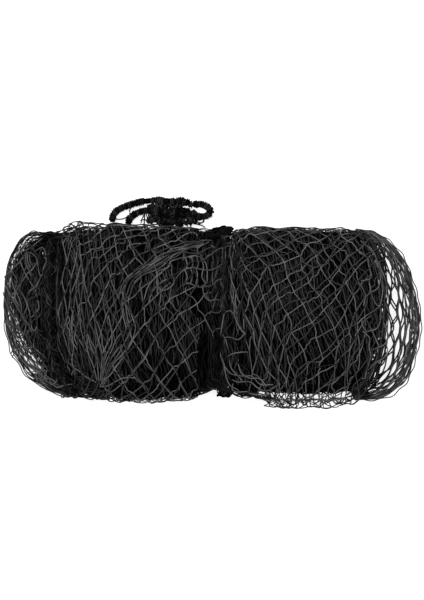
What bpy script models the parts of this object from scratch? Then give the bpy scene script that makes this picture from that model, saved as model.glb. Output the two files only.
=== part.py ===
"""A tennis net put away: gathered into a long flat-lying bundle, tied twice, its border rope in a bow.

Run with: blender --background --python part.py
Metres, +Z up. The bundle lies on z = 0 with its length along X and the bow on its +Y side. The origin is on
the underside, at the middle of the length and of the width.

Every netting solid is lofted from the same loaf-shaped section, so the pieces follow one outline. A station is
(u, y_low, y_high, top): where the section sits along the bundle, its two sides, and its height. Near the left
tie the sections lean over at their low-Y side, as the tie does, which lean() and tie_lean() work out.
"""

import math

import bpy
from mathutils import Vector

GAP = 0.0003  # what touching pieces leave between them
RING_POINTS = 36  # points round one netting section
CAP_RINGS = 5  # rings across an end face
ROPE_SIDES_RESOLUTION = 2  # bevel resolution of every rope

# The section: superellipses above and below the widest line, the lower one cut flat.
WIDEST_SHARE = 0.36
TOP_POWER = 0.80
BOTTOM_POWER = 0.50
FLAT_GAIN = 1.22

# The lean of the sections at the left tie.
LEFT_TIE_U = -0.390
LEAN_START_Y = -0.090
LEAN_SPAN_Y = 0.150
LEAN_REACH = 0.075
LEAN_ENDS_U = -0.120

# Ropes and knots.
TIE_RADIUS = 0.0080
MIDDLE_TIE_RADIUS = 0.0075
BOW_RADIUS = 0.0070
MIDDLE_TIE_U = 0.0285
TIE_STEPS = 60  # points round one turn of a tie
TIE_CLEARANCE = 0.0024  # between a tie and the waist it holds

# The waists stay off the floor by a rope's thickness, so that the ties pass under them.
LEFT_WAIST_BOTTOM = 2 * TIE_RADIUS + TIE_CLEARANCE + GAP
MIDDLE_WAIST_BOTTOM = 2 * MIDDLE_TIE_RADIUS + TIE_CLEARANCE + GAP

LEFT_END = [
    (-0.506, -0.090, -0.010, 0.012),
    (-0.500, -0.150, 0.055, 0.045),
    (-0.486, -0.205, 0.112, 0.075),
    (-0.465, -0.230, 0.146, 0.095),
    (-0.436, -0.238, 0.166, 0.105),
    (-0.410, -0.238, 0.160, 0.100),
]
LEFT_WAIST = [
    (-0.4075, -0.216, 0.128, 0.082),
    (-0.3725, -0.216, 0.128, 0.082),
]
MIDDLE_LOBE = [
    (-0.370, -0.234, 0.160, 0.105),
    (-0.345, -0.238, 0.178, 0.130),
    (-0.280, -0.240, 0.184, 0.148),
    (-0.200, -0.242, 0.180, 0.155),
    (-0.127, -0.242, 0.177, 0.158),
    (-0.060, -0.238, 0.174, 0.150),
    (-0.020, -0.228, 0.168, 0.128),
    (0.012, -0.214, 0.158, 0.100),
]
MIDDLE_WAIST = [
    (0.0145, -0.206, 0.140, 0.084),
    (0.0425, -0.206, 0.140, 0.084),
]
RIGHT_LOBE = [
    (0.045, -0.218, 0.158, 0.104),
    (0.065, -0.234, 0.170, 0.134),
    (0.110, -0.240, 0.172, 0.152),
    (0.210, -0.243, 0.171, 0.158),
    (0.300, -0.240, 0.169, 0.155),
    (0.358, -0.230, 0.162, 0.140),
    (0.392, -0.205, 0.145, 0.120),
    (0.418, -0.165, 0.105, 0.092),
    (0.434, -0.120, 0.045, 0.060),
    (0.442, -0.080, -0.010, 0.030),
]
END_POCKET = [
    (0.372, -0.240, 0.165, 0.070),
    (0.410, -0.239, 0.156, 0.064),
    (0.440, -0.228, 0.135, 0.056),
    (0.468, -0.204, 0.096, 0.046),
    (0.490, -0.160, 0.040, 0.034),
    (0.505, -0.100, -0.030, 0.020),
]
POCKET_CLEARANCE = 0.004  # between the pocket and the dense core inside it

# The knots of the ties: name, centre, half sizes.
KNOTS = [
    ("left_tie_knot", (-0.390, 0.1565, 0.045), (0.0135, 0.0090, 0.020)),
    ("middle_tie_upper_knot", (0.0285, 0.1690, 0.045), (0.0150, 0.0105, 0.024)),
    ("middle_tie_lower_knot", (0.0290, -0.2345, 0.0200), (0.0155, 0.0090, 0.019)),
]

# The folded border ropes inside the lobes: centre, length along X, width along Y, height.
HEAD_HANK = (0.205, -0.030, 0.058, 0.290, 0.170, 0.066)
FOOT_HANK = (-0.150, -0.030, 0.057, 0.280, 0.170, 0.064)
HANK_CLEARANCE = 0.0006

# The bow: each loop's route on the floor, from where it leaves the bundle or the knot.
BOW_KNOT_CENTRE = (-0.098, 0.2085, 0.0190)
BOW_KNOT_HALF = (0.040, 0.0255, 0.0185)
BOW_OUTER_ROUTE = [
    (-0.2415, 0.1900, 0.0120),
    (-0.2420, 0.2030, 0.0090),
    (-0.2340, 0.2150, 0.0075),
    (-0.2160, 0.2250, 0.0075),
    (-0.1940, 0.2325, 0.0080),
    (-0.1700, 0.2385, 0.0090),
    (-0.1475, 0.2410, 0.0115),
]
BOW_INNER_ROUTE = [
    (-0.2030, 0.1950, 0.0090),
    (-0.1960, 0.2030, 0.0080),
    (-0.1850, 0.2100, 0.0080),
    (-0.1700, 0.2150, 0.0100),
    (-0.1490, 0.2180, 0.0150),
]
BOW_RIGHT_ROUTE = [
    (-0.0470, 0.2290, 0.0180),
    (-0.0340, 0.2330, 0.0130),
    (-0.0190, 0.2300, 0.0090),
    (-0.0080, 0.2220, 0.0075),
    (-0.0050, 0.2130, 0.0075),
    (-0.0120, 0.2050, 0.0080),
    (-0.0260, 0.2020, 0.0110),
    (-0.0450, 0.2040, 0.0160),
]
SPACING_IN_DIAMETERS = 0.5  # between the points of a rope's tube
KNOT_FILL = 1.20

TWINE = ((0.060, 0.060, 0.062), 0.60)
DARK_TWINE = ((0.045, 0.045, 0.047), 0.62)
ROPE = ((0.022, 0.022, 0.024), 0.70)
HIDDEN_ROPE = ((0.035, 0.035, 0.038), 0.70)


def clear_scene():
    for obj in list(bpy.data.objects):
        bpy.data.objects.remove(obj, do_unlink=True)


def new_collection(name):
    collection = bpy.data.collections.new(name)
    bpy.context.scene.collection.children.link(collection)
    return collection


def material(name, colour_and_roughness):
    colour, roughness = colour_and_roughness
    made = bpy.data.materials.new(name)
    made.use_nodes = True
    shader = made.node_tree.nodes["Principled BSDF"]
    shader.inputs["Base Color"].default_value = (*colour, 1.0)
    shader.inputs["Roughness"].default_value = roughness
    shader.inputs["Metallic"].default_value = 0.0
    return made


def tie_lean(y):
    """How far the left tie's line has moved towards +X at this y: nothing above, a hook below."""
    share = max(0.0, (LEAN_START_Y - y) / LEAN_SPAN_Y)
    return LEAN_REACH * share * share


def lean(u):
    """How much of the tie's lean a section at u takes: all of it up to the tie, none beyond LEAN_ENDS_U."""
    share = (u - LEFT_TIE_U) / (LEAN_ENDS_U - LEFT_TIE_U)
    share = min(1.0, max(0.0, share))
    return 1.0 - share * share * (3.0 - 2.0 * share)


def power(value, exponent):
    return math.copysign(abs(value) ** exponent, value)


def section_point(station, angle, bottom=0.0):
    """The point of one section at this angle, counted from +Y over the top."""
    u, y_low, y_high, top = station
    half = (y_high - y_low) / 2
    widest = bottom + WIDEST_SHARE * (top - bottom)
    cosine, sine = math.cos(angle), math.sin(angle)
    if sine >= 0:
        y = half * power(cosine, TOP_POWER)
        z = widest + (top - widest) * power(sine, TOP_POWER)
    else:
        y = half * power(cosine, BOTTOM_POWER)
        drop = min(1.0, FLAT_GAIN * abs(sine) ** BOTTOM_POWER)
        z = widest - (widest - bottom) * drop
    y += (y_high + y_low) / 2
    return Vector((u + lean(u) * tie_lean(y), y, z))


def ring_angles(count=RING_POINTS):
    return [2 * math.pi * (i + 0.5) / count for i in range(count)]


def cap_points(station, bottom):
    """The points of an end face: the section's ring shrunk step by step, each following the lean."""
    rim = [section_point(station, angle, bottom) for angle in ring_angles()]
    middle = sum(rim, Vector()) / RING_POINTS
    rings = []
    for step in range(1, CAP_RINGS):
        share = 1.0 - step / CAP_RINGS
        ring = []
        for point in rim:
            y = middle.y + share * (point.y - middle.y)
            z = middle.z + share * (point.z - middle.z)
            ring.append(Vector((station[0] + lean(station[0]) * tie_lean(y), y, z)))
        rings.append(ring)
    return rings, Vector((station[0] + lean(station[0]) * tie_lean(middle.y), middle.y, middle.z))


def loft(name, stations, collection, looks, bottom=0.0):
    """A closed solid through the stations' sections, with an end face at each end."""
    start_rings, start_middle = cap_points(stations[0], bottom)
    end_rings, end_middle = cap_points(stations[-1], bottom)
    sections = [[section_point(station, angle, bottom) for angle in ring_angles()] for station in stations]
    rings = [*reversed(start_rings), *sections, *end_rings]
    points = [start_middle, *(point for ring in rings for point in ring), end_middle]
    last = len(points) - 1
    faces = []
    for i in range(RING_POINTS):
        j = (i + 1) % RING_POINTS
        faces.append((0, 1 + i, 1 + j))
        for ring in range(len(rings) - 1):
            near, far = 1 + ring * RING_POINTS, 1 + (ring + 1) * RING_POINTS
            faces.append((near + j, near + i, far + i, far + j))
        far = 1 + (len(rings) - 1) * RING_POINTS
        faces.append((far + j, far + i, last))
    mesh = bpy.data.meshes.new(name)
    mesh.from_pydata(points, [], faces)
    mesh.validate()
    mesh.shade_smooth()
    mesh.set_sharp_from_angle(angle=math.radians(40))
    mesh.materials.append(looks)
    obj = bpy.data.objects.new(name, mesh)
    collection.objects.link(obj)
    return obj


def recalculate_outward(obj):
    bpy.context.view_layer.objects.active = obj
    obj.select_set(True)
    bpy.ops.object.mode_set(mode="EDIT")
    bpy.ops.mesh.select_all(action="SELECT")
    bpy.ops.mesh.normals_make_consistent(inside=False)
    bpy.ops.object.mode_set(mode="OBJECT")
    obj.select_set(False)


def smooth_route(points, spacing):
    """Points about spacing apart on a Catmull-Rom curve through the given ones."""
    knots = [Vector(p) for p in points]
    knots = [2 * knots[0] - knots[1], *knots, 2 * knots[-1] - knots[-2]]
    route = []
    for i in range(1, len(knots) - 2):
        before, start, end, after = knots[i - 1 : i + 3]
        steps = max(2, round((end - start).length / spacing))
        for k in range(steps):
            t = k / steps
            route.append(
                0.5
                * (
                    2 * start
                    + (end - before) * t
                    + (2 * before - 5 * start + 4 * end - after) * t * t
                    + (3 * start - before - 3 * end + after) * t * t * t
                )
            )
    return [*route, knots[-2]]


def rope(name, route, radius, collection, looks, origin=None, closed=False):
    """A rope as a bevelled curve through the route's points, its origin at origin."""
    origin = Vector(origin) if origin else Vector()
    curve = bpy.data.curves.new(name, "CURVE")
    curve.dimensions = "3D"
    curve.bevel_depth = radius
    curve.bevel_resolution = ROPE_SIDES_RESOLUTION
    curve.use_fill_caps = True
    spline = curve.splines.new("POLY")
    spline.points.add(len(route) - 1)
    for point, place in zip(spline.points, route):
        point.co = (*(place - origin), 1.0)
    spline.use_cyclic_u = closed
    curve.materials.append(looks)
    obj = bpy.data.objects.new(name, curve)
    obj.location = origin
    collection.objects.link(obj)
    return obj


def round_waist(tie_u, waist, bottom, distance):
    """A rope's closed route round a waist at tie_u, distance off its surface."""
    _, y_low, y_high, top = waist[0]
    station = (tie_u, y_low - distance, y_high + distance, top + distance)
    return [section_point(station, angle, bottom - distance) for angle in ring_angles(TIE_STEPS)]


def knot(name, centre, half, collection, looks):
    """A rounded lump of tied rope: a subdivided box cage, KNOT_FILL larger than the half sizes it comes to."""
    bpy.ops.mesh.primitive_cube_add(size=2.0, location=centre)
    obj = bpy.context.object
    obj.name = obj.data.name = name
    for vertex in obj.data.vertices:
        vertex.co = Vector(a * b for a, b in zip(vertex.co, half)) * KNOT_FILL
    rounding = obj.modifiers.new("rounding", "SUBSURF")
    rounding.levels = rounding.render_levels = 3
    obj.data.shade_smooth()
    obj.data.materials.append(looks)
    for held in list(obj.users_collection):
        held.objects.unlink(obj)
    collection.objects.link(obj)
    return obj


def hank(name, block, collection, looks):
    """A folded rope: an outline with round ends, extruded and bevelled."""
    x, y, z, length, width, height = block
    radius = height / 2
    straight = length / 2 - radius
    steps = 8
    outline = []
    for side in (1, -1):
        for k in range(steps + 1):
            angle = side * math.pi / 2 - math.pi * k / steps
            outline.append((side * straight + radius * math.cos(angle), radius * math.sin(angle)))
    curve = bpy.data.curves.new(name, "CURVE")
    curve.dimensions = "2D"
    curve.fill_mode = "BOTH"
    curve.extrude = width / 2
    spline = curve.splines.new("POLY")
    spline.points.add(len(outline) - 1)
    for point, (across, up) in zip(spline.points, outline):
        point.co = (across, up, 0.0, 1.0)
    spline.use_cyclic_u = True
    curve.materials.append(looks)
    obj = bpy.data.objects.new(name, curve)
    obj.location = (x, y, z)
    obj.rotation_euler.x = math.pi / 2
    collection.objects.link(obj)
    return obj


def box_cutter(name, low, high, collection):
    centre = [(a + b) / 2 for a, b in zip(low, high)]
    bpy.ops.mesh.primitive_cube_add(size=1.0, location=centre)
    obj = bpy.context.object
    obj.name = name
    for vertex in obj.data.vertices:
        vertex.co = Vector(v * (b - a) for v, a, b in zip(vertex.co, low, high))
    hide_as_cutter(obj, collection)
    return obj


def hide_as_cutter(obj, collection):
    for held in list(obj.users_collection):
        held.objects.unlink(obj)
    collection.objects.link(obj)
    obj.hide_render = True
    obj.display_type = "WIRE"


def cut(obj, cutter):
    boolean = obj.modifiers.new("room_for_" + cutter.name, "BOOLEAN")
    boolean.operation = "DIFFERENCE"
    boolean.solver = "EXACT"
    boolean.object = cutter


def hank_room(name, block, open_end_x, collection):
    """The room a hank lies in, a box that runs out through the lobe's end at open_end_x."""
    x, y, z, length, width, height = block
    reach = (length / 2 + HANK_CLEARANCE, width / 2 + HANK_CLEARANCE, height / 2 + HANK_CLEARANCE)
    low = [x - reach[0], y - reach[1], z - reach[2]]
    high = [x + reach[0], y + reach[1], z + reach[2]]
    if open_end_x < x:
        low[0] = open_end_x
    else:
        high[0] = open_end_x
    return box_cutter(name, low, high, collection)


def netting(parts, cutters):
    """The net itself, one solid for each stretch between the ties."""
    twine = material("netting_twine", TWINE)
    dark = material("gathered_netting", DARK_TWINE)
    for name, stations, looks, bottom in (
        ("netting_left_end", LEFT_END, twine, 0.0),
        ("netting_left_waist", LEFT_WAIST, dark, LEFT_WAIST_BOTTOM),
        ("netting_middle_lobe", MIDDLE_LOBE, twine, 0.0),
        ("netting_middle_waist", MIDDLE_WAIST, dark, MIDDLE_WAIST_BOTTOM),
        ("netting_right_lobe", RIGHT_LOBE, twine, 0.0),
        ("netting_end_pocket", END_POCKET, twine, 0.0),
    ):
        recalculate_outward(loft(name, stations, parts, looks, bottom))
    core = [
        (u + POCKET_CLEARANCE, low - POCKET_CLEARANCE, high + POCKET_CLEARANCE, top + POCKET_CLEARANCE)
        for u, low, high, top in RIGHT_LOBE[3:]
    ]
    core_cutter = loft("core_in_pocket", core, cutters, twine, -POCKET_CLEARANCE)
    recalculate_outward(core_cutter)
    hide_as_cutter(core_cutter, cutters)
    cut(parts.objects["netting_end_pocket"], core_cutter)


def border_ropes(parts, cutters):
    """The rest of the head and foot ropes, folded up inside the two lobes."""
    looks = material("folded_border_rope", HIDDEN_ROPE)
    hank("head_rope_hank", HEAD_HANK, parts, looks)
    hank("foot_rope_hank", FOOT_HANK, parts, looks)
    right_end = RIGHT_LOBE[0][0] - 0.02
    middle_end = MIDDLE_LOBE[-1][0] + 0.02
    cut(parts.objects["netting_right_lobe"], hank_room("room_for_head_rope", HEAD_HANK, right_end, cutters))
    cut(parts.objects["netting_middle_lobe"], hank_room("room_for_foot_rope", FOOT_HANK, middle_end, cutters))


def ties(parts):
    looks = material("tie_rope", ROPE)
    for name, tie_u, waist, bottom, radius in (
        ("left_tie_rope", LEFT_TIE_U, LEFT_WAIST, LEFT_WAIST_BOTTOM, TIE_RADIUS),
        ("middle_tie_rope", MIDDLE_TIE_U, MIDDLE_WAIST, MIDDLE_WAIST_BOTTOM, MIDDLE_TIE_RADIUS),
    ):
        route = round_waist(tie_u, waist, bottom, radius + TIE_CLEARANCE)
        rope(name, route, radius, parts, looks, closed=True)
    for name, centre, half in KNOTS:
        knot(name, centre, half, parts, looks)


def bow(parts):
    """The bow in the border rope: a knot and three loops lying beside the bundle."""
    looks = material("bow_rope", ROPE)
    knot("bow_knot", BOW_KNOT_CENTRE, BOW_KNOT_HALF, parts, looks)
    spacing = SPACING_IN_DIAMETERS * 2 * BOW_RADIUS
    for name, route in (
        ("bow_outer_loop", BOW_OUTER_ROUTE),
        ("bow_inner_loop", BOW_INNER_ROUTE),
        ("bow_right_loop", BOW_RIGHT_ROUTE),
    ):
        rope(name, smooth_route(route, spacing), BOW_RADIUS, parts, looks, origin=route[0])


def main():
    clear_scene()
    parts = new_collection("bundled_tennis_net")
    cutters = new_collection("cutters")
    netting(parts, cutters)
    border_ropes(parts, cutters)
    ties(parts)
    bow(parts)


main()
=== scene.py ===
import math

import bpy
import numpy as np
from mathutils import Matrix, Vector
from mathutils.bvhtree import BVHTree


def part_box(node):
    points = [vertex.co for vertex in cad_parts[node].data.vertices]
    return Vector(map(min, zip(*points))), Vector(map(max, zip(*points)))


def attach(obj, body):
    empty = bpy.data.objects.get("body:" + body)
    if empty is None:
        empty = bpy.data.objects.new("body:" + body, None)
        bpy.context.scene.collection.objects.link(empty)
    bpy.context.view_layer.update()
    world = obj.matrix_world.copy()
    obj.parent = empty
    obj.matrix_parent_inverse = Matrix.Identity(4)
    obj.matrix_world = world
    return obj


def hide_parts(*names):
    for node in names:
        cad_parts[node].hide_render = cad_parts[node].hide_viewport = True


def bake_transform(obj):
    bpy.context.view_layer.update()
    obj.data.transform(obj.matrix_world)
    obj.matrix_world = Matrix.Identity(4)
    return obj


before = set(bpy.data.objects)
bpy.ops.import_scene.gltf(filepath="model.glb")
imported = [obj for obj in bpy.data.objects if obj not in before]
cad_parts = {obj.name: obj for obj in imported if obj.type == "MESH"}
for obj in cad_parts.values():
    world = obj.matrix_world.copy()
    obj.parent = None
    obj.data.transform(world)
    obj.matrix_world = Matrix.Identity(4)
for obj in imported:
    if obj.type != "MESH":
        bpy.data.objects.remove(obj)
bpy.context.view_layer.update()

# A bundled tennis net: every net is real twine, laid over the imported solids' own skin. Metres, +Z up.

BAR = 0.045  # one mesh bar, from knot to knot
TWINE = 0.0026  # twine diameter
FOLD_TWINE = 0.0022  # the folds' twine, drawn tighter
HITCH_TWINE = 0.0032  # twine hitched round a rope
POCKET_TWINE = 0.0036  # the pocket's bars, where two sheets' twines stick together
ROPE = 0.0140  # border rope diameter
FLOOR_CLEARANCE = 0.0004
ROUTE_STEP = 0.004  # from point to point of a twine that follows a route

# ---------------------------------------------------------------- camera, floor and light

CAMERA_HEIGHT = 4.05
CAMERA_CENTRE = (-0.0012, 0.0)
CAMERA_LENS = 100.0  # millimetres, like the sensor's width
SENSOR = 36.0
FLOOR_SIZE = 30.0
FLOOR_HEIGHT = -0.0006
FLOOR_GREY = 0.40
FLOOR_ROUGHNESS = 0.9
FLOOR_GLOW = 0.84
SKY_STRENGTH = 0.22
WHITE = (1.0, 1.0, 1.0, 1.0)
LIGHTS = {  # place, diameter, power
    "key_light": ((-0.9, 1.3, 3.3), 1.0, 120.0),
    "fill_light": ((1.8, -1.0, 2.6), 2.2, 40.0),
}


def make_camera():
    """Straight above the bundle, as in the photograph."""
    data = bpy.data.cameras.new("camera")
    data.lens = CAMERA_LENS
    data.sensor_width = SENSOR
    camera = bpy.data.objects.new("camera", data)
    camera.location = (*CAMERA_CENTRE, CAMERA_HEIGHT)
    bpy.context.scene.collection.objects.link(camera)
    bpy.context.scene.camera = camera


def make_floor():
    made = bpy.data.materials.new("studio_floor")
    made.use_nodes = True
    shader = made.node_tree.nodes["Principled BSDF"]
    shader.inputs["Base Color"].default_value = (FLOOR_GREY, FLOOR_GREY, FLOOR_GREY, 1.0)
    shader.inputs["Roughness"].default_value = FLOOR_ROUGHNESS
    shader.inputs["Emission Color"].default_value = WHITE
    shader.inputs["Emission Strength"].default_value = FLOOR_GLOW
    bpy.ops.mesh.primitive_plane_add(size=FLOOR_SIZE, location=(0.0, 0.0, FLOOR_HEIGHT))
    floor = bpy.context.object
    floor.name = "studio_floor"
    floor.data.materials.append(made)


def make_light(name, place, size, power):
    data = bpy.data.lights.new(name, "AREA")
    data.shape = "DISK"
    data.size = size
    data.energy = power
    light = bpy.data.objects.new(name, data)
    light.location = place
    light.rotation_euler = (-Vector(place)).to_track_quat("-Z", "Y").to_euler()
    bpy.context.scene.collection.objects.link(light)


def make_studio():
    scene = bpy.context.scene
    scene.view_settings.view_transform = "Standard"
    world = bpy.data.worlds.new("studio")
    world.use_nodes = True
    world.node_tree.nodes["Background"].inputs["Color"].default_value = WHITE
    world.node_tree.nodes["Background"].inputs["Strength"].default_value = SKY_STRENGTH
    scene.world = world
    make_floor()
    for name, values in LIGHTS.items():
        make_light(name, *values)


# ---------------------------------------------------------------- lines


def blurred(values, passes):
    """Averages an array along its first axis with its neighbours, the ends kept."""
    values = values.copy()
    for _ in range(passes):
        values[1:-1] = 0.5 * values[1:-1] + 0.25 * (values[:-2] + values[2:])
    return values


def units(vectors, smallest=1e-9):
    return vectors / np.maximum(np.linalg.norm(vectors, axis=-1, keepdims=True), smallest)


def lengths_along(points):
    """How far along a line each of its points is."""
    return np.concatenate([[0], np.cumsum(np.linalg.norm(np.diff(points, axis=0), axis=1))])


def sideways(line):
    """The way to the left of a flat line, at each of its points."""
    tangent = units(np.gradient(line, axis=0))
    return np.stack([-tangent[:, 1], tangent[:, 0]], axis=1)


def upright(count):
    return np.tile([0.0, 0.0, 1.0], (count, 1))


def smooth(points, times=1):
    """Catmull-Rom: puts a point between each two, so that a line bends evenly."""
    for _ in range(times):
        padded = np.vstack([2 * points[0] - points[1], points, 2 * points[-1] - points[-2]])
        middle = (9 * (padded[1:-2] + padded[2:-1]) - padded[:-3] - padded[3:]) / 16
        out = np.empty((2 * len(points) - 1, points.shape[1]))
        out[0::2], out[1::2] = points, middle
        points = out
    return points


def resampled(points, step):
    """The same line with a point about every step."""
    points = smooth(np.array(points, float), 3)
    along = lengths_along(points)
    at = np.linspace(0, along[-1], max(int(round(along[-1] / step)), 3) + 1)
    return np.stack([np.interp(at, along, points[:, k]) for k in range(points.shape[1])], axis=1)


def eased(value):
    value = np.clip(value, 0.0, 1.0)
    return value * value * (3 - 2 * value)


def runs(good, shortest=3):
    """(start, end) of each stretch where good holds."""
    edges = np.flatnonzero(np.diff(np.concatenate([[0], good.astype(int), [0]])))
    return [(a, b) for a, b in edges.reshape(-1, 2) if b - a >= shortest]


def above_floor(points, radius):
    points = points.copy()
    points[:, 2] = np.maximum(points[:, 2], radius + FLOOR_CLEARANCE)
    return points


def height_at(tree, x, y, missing, start=0.4, reach=0.5):
    """How high the first solid is that a ray straight down meets."""
    hit = tree.ray_cast(Vector((x, y, start)), Vector((0, 0, -1)), reach)[0]
    return missing if hit is None else hit.z


# ---------------------------------------------------------------- the skin the netting lies on

NETTING_NODES = (
    "netting_left_end",
    "netting_left_waist",
    "netting_middle_lobe",
    "netting_middle_waist",
    "netting_right_lobe",
    "netting_end_pocket",
)
LEFT_END, LEFT_WAIST, MIDDLE, MIDDLE_WAIST, RIGHT, POCKET = range(6)
STATIONS = 261
ANGLES = 216
FRACTIONS = 201
RAY_REACH = 0.6
EDGE_INSET = 0.0012  # the first and last stations, inside the box's ends
HALF_WIDTH = 0.28  # wider than any section


def node_tree_of(names):
    """A search tree over these nodes' solids, and which node each face belongs to."""
    points, faces, owners = [], [], []
    for number, name in enumerate(names):
        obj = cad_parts[name]
        first = len(points)
        points += [obj.matrix_world @ v.co for v in obj.data.vertices]
        for face in obj.data.polygons:
            faces.append([first + i for i in face.vertices])
            owners.append(number)
    return BVHTree.FromPolygons(points, faces), owners


class Skin:
    """The outer surface of the netting solids, as a chart: t runs along the ridge, s round the section.

    s is 0 on the ridge, positive towards +Y, and it reaches the middle of the underside at both ends.
    """

    def __init__(self):
        tree, owners = node_tree_of(NETTING_NODES)
        low = min(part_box(n)[0].x for n in NETTING_NODES) + EDGE_INSET
        high = max(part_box(n)[1].x for n in NETTING_NODES) - EDGE_INSET
        self.xs = np.linspace(low, high, STATIONS)
        angles = math.radians(270) - np.linspace(0, 2 * math.pi, ANGLES + 1)
        grid = np.zeros((STATIONS, FRACTIONS, 3))
        owner = np.zeros((STATIONS, FRACTIONS), int)
        self.half = np.zeros((STATIONS, 2))
        fractions = np.linspace(-1, 1, FRACTIONS)
        for k, x in enumerate(self.xs):
            ring, who = self.section(tree, owners, x, angles)
            along = lengths_along(ring)
            ridge = along[ANGLES // 2]
            self.half[k] = ridge, along[-1] - ridge
            s = (along - ridge) / np.where(along < ridge, ridge, along[-1] - ridge)
            for axis in range(3):
                grid[k, :, axis] = np.interp(fractions, s, ring[:, axis])
            owner[k] = who[np.clip(np.searchsorted(s, fractions), 0, ANGLES)]
        self.grid = blurred(grid, 3)
        self.grid[:, :, 0] = self.xs[:, None]
        self.half = blurred(self.half, 3)
        self.owner = owner
        self.normal = units(np.cross(np.gradient(self.grid, axis=0), np.gradient(self.grid, axis=1)))
        self.ts = lengths_along(self.grid[:, FRACTIONS // 2])
        self.ts -= np.interp(0.0, self.xs, self.ts)
        self.tree = self.search_tree()

    def section(self, tree, owners, x, angles):
        """The section at x: where rays towards its rough middle meet the solids, and whose they are."""
        hits = []
        for y in np.linspace(-HALF_WIDTH, HALF_WIDTH, 113):
            z = height_at(tree, x, y, None, 0.5, 1.0)
            if z is not None:
                hits.append((y, z))
        hits = np.array(hits)
        centre = Vector((x, (hits[0, 0] + hits[-1, 0]) / 2, 0.35 * hits[:, 1].max()))
        ring, who = [], []
        for angle in angles:
            ray = Vector((0.0, math.cos(angle), math.sin(angle)))
            place, _, face, _ = tree.ray_cast(centre + RAY_REACH * ray, -ray, RAY_REACH)
            ring.append(place if place is not None else centre)
            who.append(owners[face] if face is not None else 0)
        return np.array(ring), np.array(who)

    def search_tree(self):
        points = self.grid.reshape(-1, 3)
        faces = []
        for k in range(STATIONS - 1):
            for j in range(FRACTIONS - 1):
                i = k * FRACTIONS + j
                faces.append((i, i + 1, i + 1 + FRACTIONS, i + FRACTIONS))
        return BVHTree.FromPolygons([Vector(p) for p in points], faces)

    def place(self, t, s):
        """(points, normals, owners, inside) of the chart's points."""
        t, s = np.asarray(t, float), np.asarray(s, float)
        k = np.interp(t, self.ts, np.arange(STATIONS))
        k0 = np.clip(k.astype(int), 0, STATIONS - 2)
        kw = (k - k0)[:, None]
        half = self.half[k0] * (1 - kw) + self.half[k0 + 1] * kw
        fraction = np.where(s < 0, s / half[:, 0], s / half[:, 1])
        inside = (np.abs(fraction) <= 1.0) & (t >= self.ts[0]) & (t <= self.ts[-1])
        j = (np.clip(fraction, -1, 1) + 1) / 2 * (FRACTIONS - 1)
        j0 = np.clip(j.astype(int), 0, FRACTIONS - 2)
        jw = (j - j0)[:, None]

        def mix(table):
            near = table[k0, j0] * (1 - jw) + table[k0, j0 + 1] * jw
            far = table[k0 + 1, j0] * (1 - jw) + table[k0 + 1, j0 + 1] * jw
            return near * (1 - kw) + far * kw

        points, normals = mix(self.grid), units(mix(self.normal))
        owners = self.owner[np.clip(np.round(k).astype(int), 0, STATIONS - 1), np.round(j).astype(int)]
        return points, normals, owners, inside

    def chart_of(self, x, y):
        """The chart's (t, s) of a point seen from above."""
        t = float(np.interp(x, self.xs, self.ts))
        k = int(np.argmin(np.abs(self.xs - x)))
        quarter = FRACTIONS // 4
        ys = self.grid[k, quarter : FRACTIONS - quarter, 1]
        fraction = np.interp(y, ys, np.linspace(-0.5, 0.5, len(ys)))
        return t, float(fraction * self.half[k, 0 if fraction < 0 else 1])

    def onto(self, points, lift):
        """Points moved to the nearest of the skin, plus lift along its normal, and those normals."""
        placed, normals = np.empty_like(points), np.empty_like(points)
        for i, point in enumerate(points):
            near, normal, _, _ = self.tree.find_nearest(Vector(point))
            placed[i], normals[i] = near, normal
        return placed + normals * np.reshape(lift, (-1, 1)), normals


class Waves:
    """Smooth noise: a sum of a few plane waves in the chart, about amplitude high and wavelength long."""

    def __init__(self, seed, wavelength, amplitude):
        count = 7
        draw = np.random.default_rng(seed)
        heading = draw.uniform(0, 2 * math.pi, count)
        number = 2 * math.pi / (wavelength * draw.uniform(0.7, 1.5, count))
        self.k = np.stack([np.cos(heading) * number, np.sin(heading) * number])
        self.phase = draw.uniform(0, 2 * math.pi, count)
        self.size = amplitude * math.sqrt(2.0 / count)

    def __call__(self, a, b):
        grid = np.outer(a, self.k[0]) + np.outer(b, self.k[1]) + self.phase
        return self.size * np.sin(grid).sum(axis=1)

    def on(self, along):
        """The noise at places along one line."""
        return self(along, 0 * along)


# ---------------------------------------------------------------- twine as tubes


def frames(points, up):
    """The ways aside and outwards at each point of a line."""
    tangent = units(np.gradient(points, axis=0))
    side = units(np.cross(tangent, up), 1e-6)
    return side, np.cross(side, tangent)


def mesh_object(name, mesh, looks):
    mesh.shade_smooth()
    mesh.materials.append(looks)
    obj = bpy.data.objects.new(name, mesh)
    bpy.context.scene.collection.objects.link(obj)
    return obj


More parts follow.
